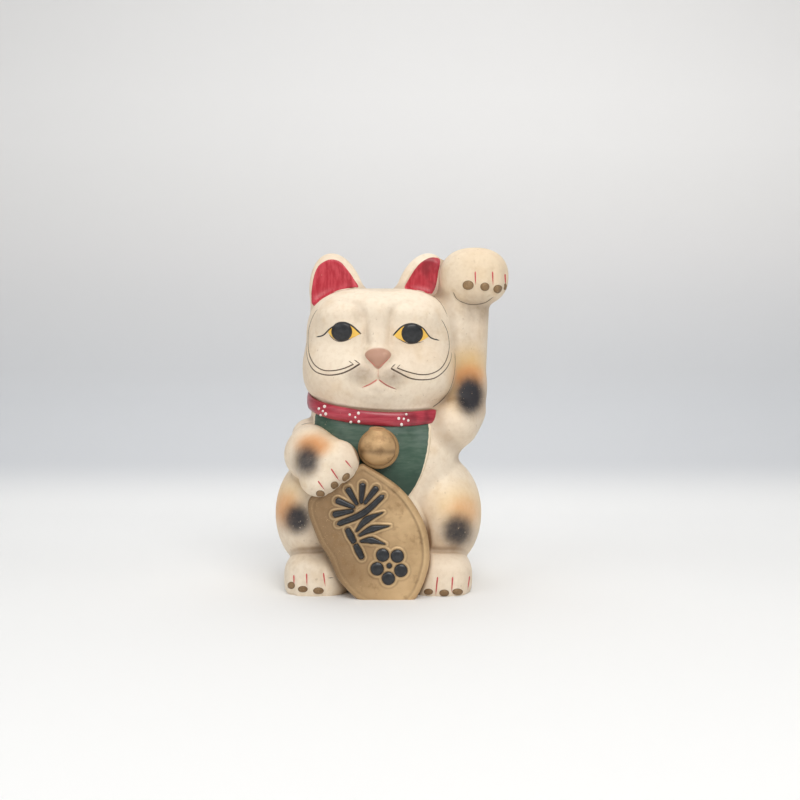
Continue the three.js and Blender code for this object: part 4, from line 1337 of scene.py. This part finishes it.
# Pine, bamboo and plum. Each stroke: its line, its width, and the share of it at start, middle and end.
BRUSH, LEAF, NEEDLE = (0.8, 1, 0.8), (0.35, 1, 0.1), (0.55, 0.8, 1)
ORNAMENT = []
for i in range(-2, 3):
    lean = math.radians(i * 34)
    start = (4 + 4.5 * math.sin(lean), 17 + 3 * math.cos(lean))
    ORNAMENT.append(([start, (4 + 16 * math.sin(lean), 17 + 13.5 * math.cos(lean))], 4.2, NEEDLE))
ORNAMENT += [
    ([(-12, 16), (4, 13.5), (20, 16)], 4.2, BRUSH),
    ([(-9, 10), (-9.5, 2)], 4.4, BRUSH),
    ([(-9.7, -0.6), (-10.4, -8.5)], 4.4, BRUSH),
    ([(-5, 6.5), (4, 9), (15, 7.5)], 4.6, LEAF),
    ([(-5, 3.5), (4, 2.6), (14, -1.5)], 4.6, LEAF),
    ([(-6, 0), (0, -3), (6, -9.5)], 4.4, LEAF),
]
PLUM, PETAL_REACH, PETAL = (1, -21.5), 7.5, 4.1
DISCS = [(PLUM, 1.7)]
for i in range(5):
    lean = math.radians(i * 72)
    DISCS.append(((PLUM[0] + PETAL_REACH * math.sin(lean), PLUM[1] + PETAL_REACH * math.cos(lean)), PETAL))


RELIEF, SUNK = 1.5, 0.15


def ink_at(x, up, share):
    """Raised ink on the koban's face, for sheet_on."""
    return koban_place(x, up, 0 * x), np.tile(KOBAN_NORMAL, (len(x), 1)), RELIEF * share - SUNK, 0.7


def ink_stroke(name, points, width, shape):
    line = path_through(points)

    def lay(u, v):
        s = (u + 1) / 2
        ahead = unit(line(np.clip(s + 0.01, 0, 1)) - line(np.clip(s - 0.01, 0, 1)))
        half = width / 2 * np.interp(s, (0, 0.5, 1), shape)
        cap = np.sqrt(np.clip(1 - np.clip((np.abs(u) - 0.84) / 0.16, 0, 1) ** 2, 0, 1))
        at = line(s) + ahead * (np.sign(u) * np.clip((np.abs(u) - 0.7) / 0.3, 0, 1) * half * 0.7)[:, None]
        off = v * half * cap
        x, up = on_koban(at[:, 0] - ahead[:, 1] * off, at[:, 1] + ahead[:, 0] * off)
        return ink_at(x, up, (1 - np.abs(v) ** 3) ** 0.5 * np.maximum(cap, 0.05))

    return sheet_on(name, 24, 10, lay)


def ink_disc(name, centre, radius):
    def lay(u, v):
        a, b = to_disc(u, v)
        x, up = on_koban(centre[0] + a * radius, centre[1] + b * radius)
        return ink_at(x, up, np.sqrt(np.clip(1 - np.hypot(a, b) ** 3, 0, 1)))

    return sheet_on(name, 16, 16, lay)


strokes = [ink_stroke(f"koban_stroke_{i}", *stroke_form) for i, stroke_form in enumerate(ORNAMENT)]
plums = [ink_disc(f"koban_plum_{i}", *disc_form) for i, disc_form in enumerate(DISCS)]
for obj in strokes + plums:
    finish_piece(obj, INK, ["koban_plaque"])


def from_ornament(x, up):
    """How far points of the koban's face lie from the nearest ink."""
    c, s = math.cos(TILT), math.sin(TILT)
    dx, dz = x - KOBAN_MIDDLE[0], up - KOBAN_MIDDLE[1]
    x, up = dx * c + dz * s, dz * c - dx * s
    best = np.full(len(x), 99.0)
    for points, width, shape in ORNAMENT:
        steps = np.linspace(0, 1, 13)
        line = path_through(points)(steps)
        half = width / 2 * np.interp(steps, (0, 0.5, 1), shape)
        for a, b, ra, rb in zip(line[:-1], line[1:], half[:-1], half[1:]):
            away, t = to_segment(x, up, a, b)
            best = np.minimum(best, away - ra - (rb - ra) * t)
    for centre, radius in DISCS:
        best = np.minimum(best, np.hypot(x - centre[0], up - centre[1]) - radius)
    return best


finish_piece(koban_plate(), GOLD, ["koban_plaque"], 50)


# Floor slab and stopper keep their CAD shapes
def bare_clay():
    p = Paint("bare fired clay", IOR=1.45)
    cloud, grain = p.noise(40, 4, 0.6), p.noise(700, 3, 0.7)
    colour = p.mix(cloud.between(0.35, 0.7), tint(198, 176, 148), tint(172, 148, 120))
    colour = p.mix(grain.between(0.62, 0.74) * 0.5, colour, tint(128, 104, 80))
    return p.finish(colour, 0.78 + grain * 0.1, grain, 0.5, 0.0003)


def stopper_rubber():
    p = Paint("black rubber", IOR=1.5)
    dust, grain = p.noise(120, 3, 0.6), p.noise(1200, 2, 0.6)
    colour = p.mix(dust.between(0.5, 0.8) * 0.6, tint(42, 42, 44), tint(84, 80, 76))
    return p.finish(colour, 0.6 + dust * 0.2, grain, 0.25, 0.0001)


for node, material in (("floor_slab", bare_clay()), ("stopper", stopper_rubber())):
    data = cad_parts[node].data
    data.materials.clear()
    data.materials.append(material)


# Floor, backdrop, light and camera
def stage():
    bm = bmesh.new()
    bmesh.ops.create_grid(bm, x_segments=1, y_segments=80, size=1)
    flat, bend = 0.6, 0.8
    near, far, sweep, rise, wall_height, half_width = -1.2, 0.3, 0.25, 0.16, 1.6, 2.5
    for v in bm.verts:
        s = (v.co.y + 1) / 2
        v.co.x *= half_width
        if s < flat:
            v.co.y, v.co.z = near + (far - near) * s / flat, 0
        elif s < bend:
            a = (s - flat) / (bend - flat) * math.pi / 2
            v.co.y, v.co.z = far + sweep * math.sin(a), rise * (1 - math.cos(a))
        else:
            v.co.y, v.co.z = far + sweep, rise + (s - bend) / (1 - bend) * wall_height
    floor = object_from(bm, "floor")
    p = Paint("white paper", IOR=1.4)
    across, back, up = (p.axis(name) for name in "XYZ")
    # Painted light and shade on the wall: darker near the floor, lightest at mid height, darker again above
    wall = [
        (0.05, tint(213, 215, 218)), (0.12, tint(210, 212, 215)), (0.19, tint(213, 214, 216)),
        (0.25, tint(218, 218, 219)), (0.31, tint(225, 224, 224)), (0.38, tint(230, 229, 228)),
        (0.45, tint(234, 233, 232)), (0.51, tint(234, 233, 232)), (0.57, tint(230, 229, 228)),
        (0.64, tint(225, 224, 223)),
    ]
    high = p.node("ShaderNodeValToRGB", {"stops": wall}, {"Fac": up})
    # Painted light: the floor is lighter further back
    flat = p.mix(back.between(0.02, 0.3), tint(237, 237, 236), tint(247, 247, 246))
    colour = p.mix(up.between(0.0, 0.05), flat, high)
    # Painted shade: the lower wall darker towards the left
    corner = (1 - across.between(-0.6, 0.35)) * up.between(0.0, 0.3) * 0.25
    colour = p.mix(corner, colour, tint(196, 196, 196))
    p.finish(colour, 0.8)
    floor.data.materials.append(p.material)
    floor.data.shade_smooth()


stage()


def lamp(name, place, target, size, watts, colour=(1, 1, 1)):
    data = bpy.data.lights.new(name, "AREA")
    data.shape, data.size, data.size_y = "RECTANGLE", size[0], size[1]
    data.energy, data.color = watts, colour
    obj = bpy.data.objects.new(name, data)
    bpy.context.scene.collection.objects.link(obj)
    obj.location = place
    obj.rotation_euler = (Vector(target) - Vector(place)).to_track_quat("-Z", "Y").to_euler()


lamp("key", (0.25, -0.95, 1.0), (0, 0, 0.1), (0.9, 0.7), 11, (1, 0.985, 0.965))
lamp("fill", (-0.9, -0.8, 0.6), (0, 0, 0.1), (0.8, 0.8), 3.0, (0.98, 0.99, 1))
lamp("top", (0, 0.1, 1.3), (0, 0, 0), (1.0, 0.8), 4.5)

world = bpy.data.worlds.new("studio")
bpy.context.scene.world = world
world.use_nodes = True
background = world.node_tree.nodes["Background"]
background.inputs["Color"].default_value = (*tint(236, 238, 240), 1)
background.inputs["Strength"].default_value = 0.35

camera_data = bpy.data.cameras.new("camera")
camera_data.lens, camera_data.sensor_width = LENS, SENSOR
camera = bpy.data.objects.new("camera", camera_data)
bpy.context.scene.collection.objects.link(camera)
camera.location = to_frame(EYE)
camera.rotation_euler = (math.pi / 2, 0, 0)
bpy.context.scene.camera = camera
bpy.context.scene.view_settings.view_transform = "Standard"
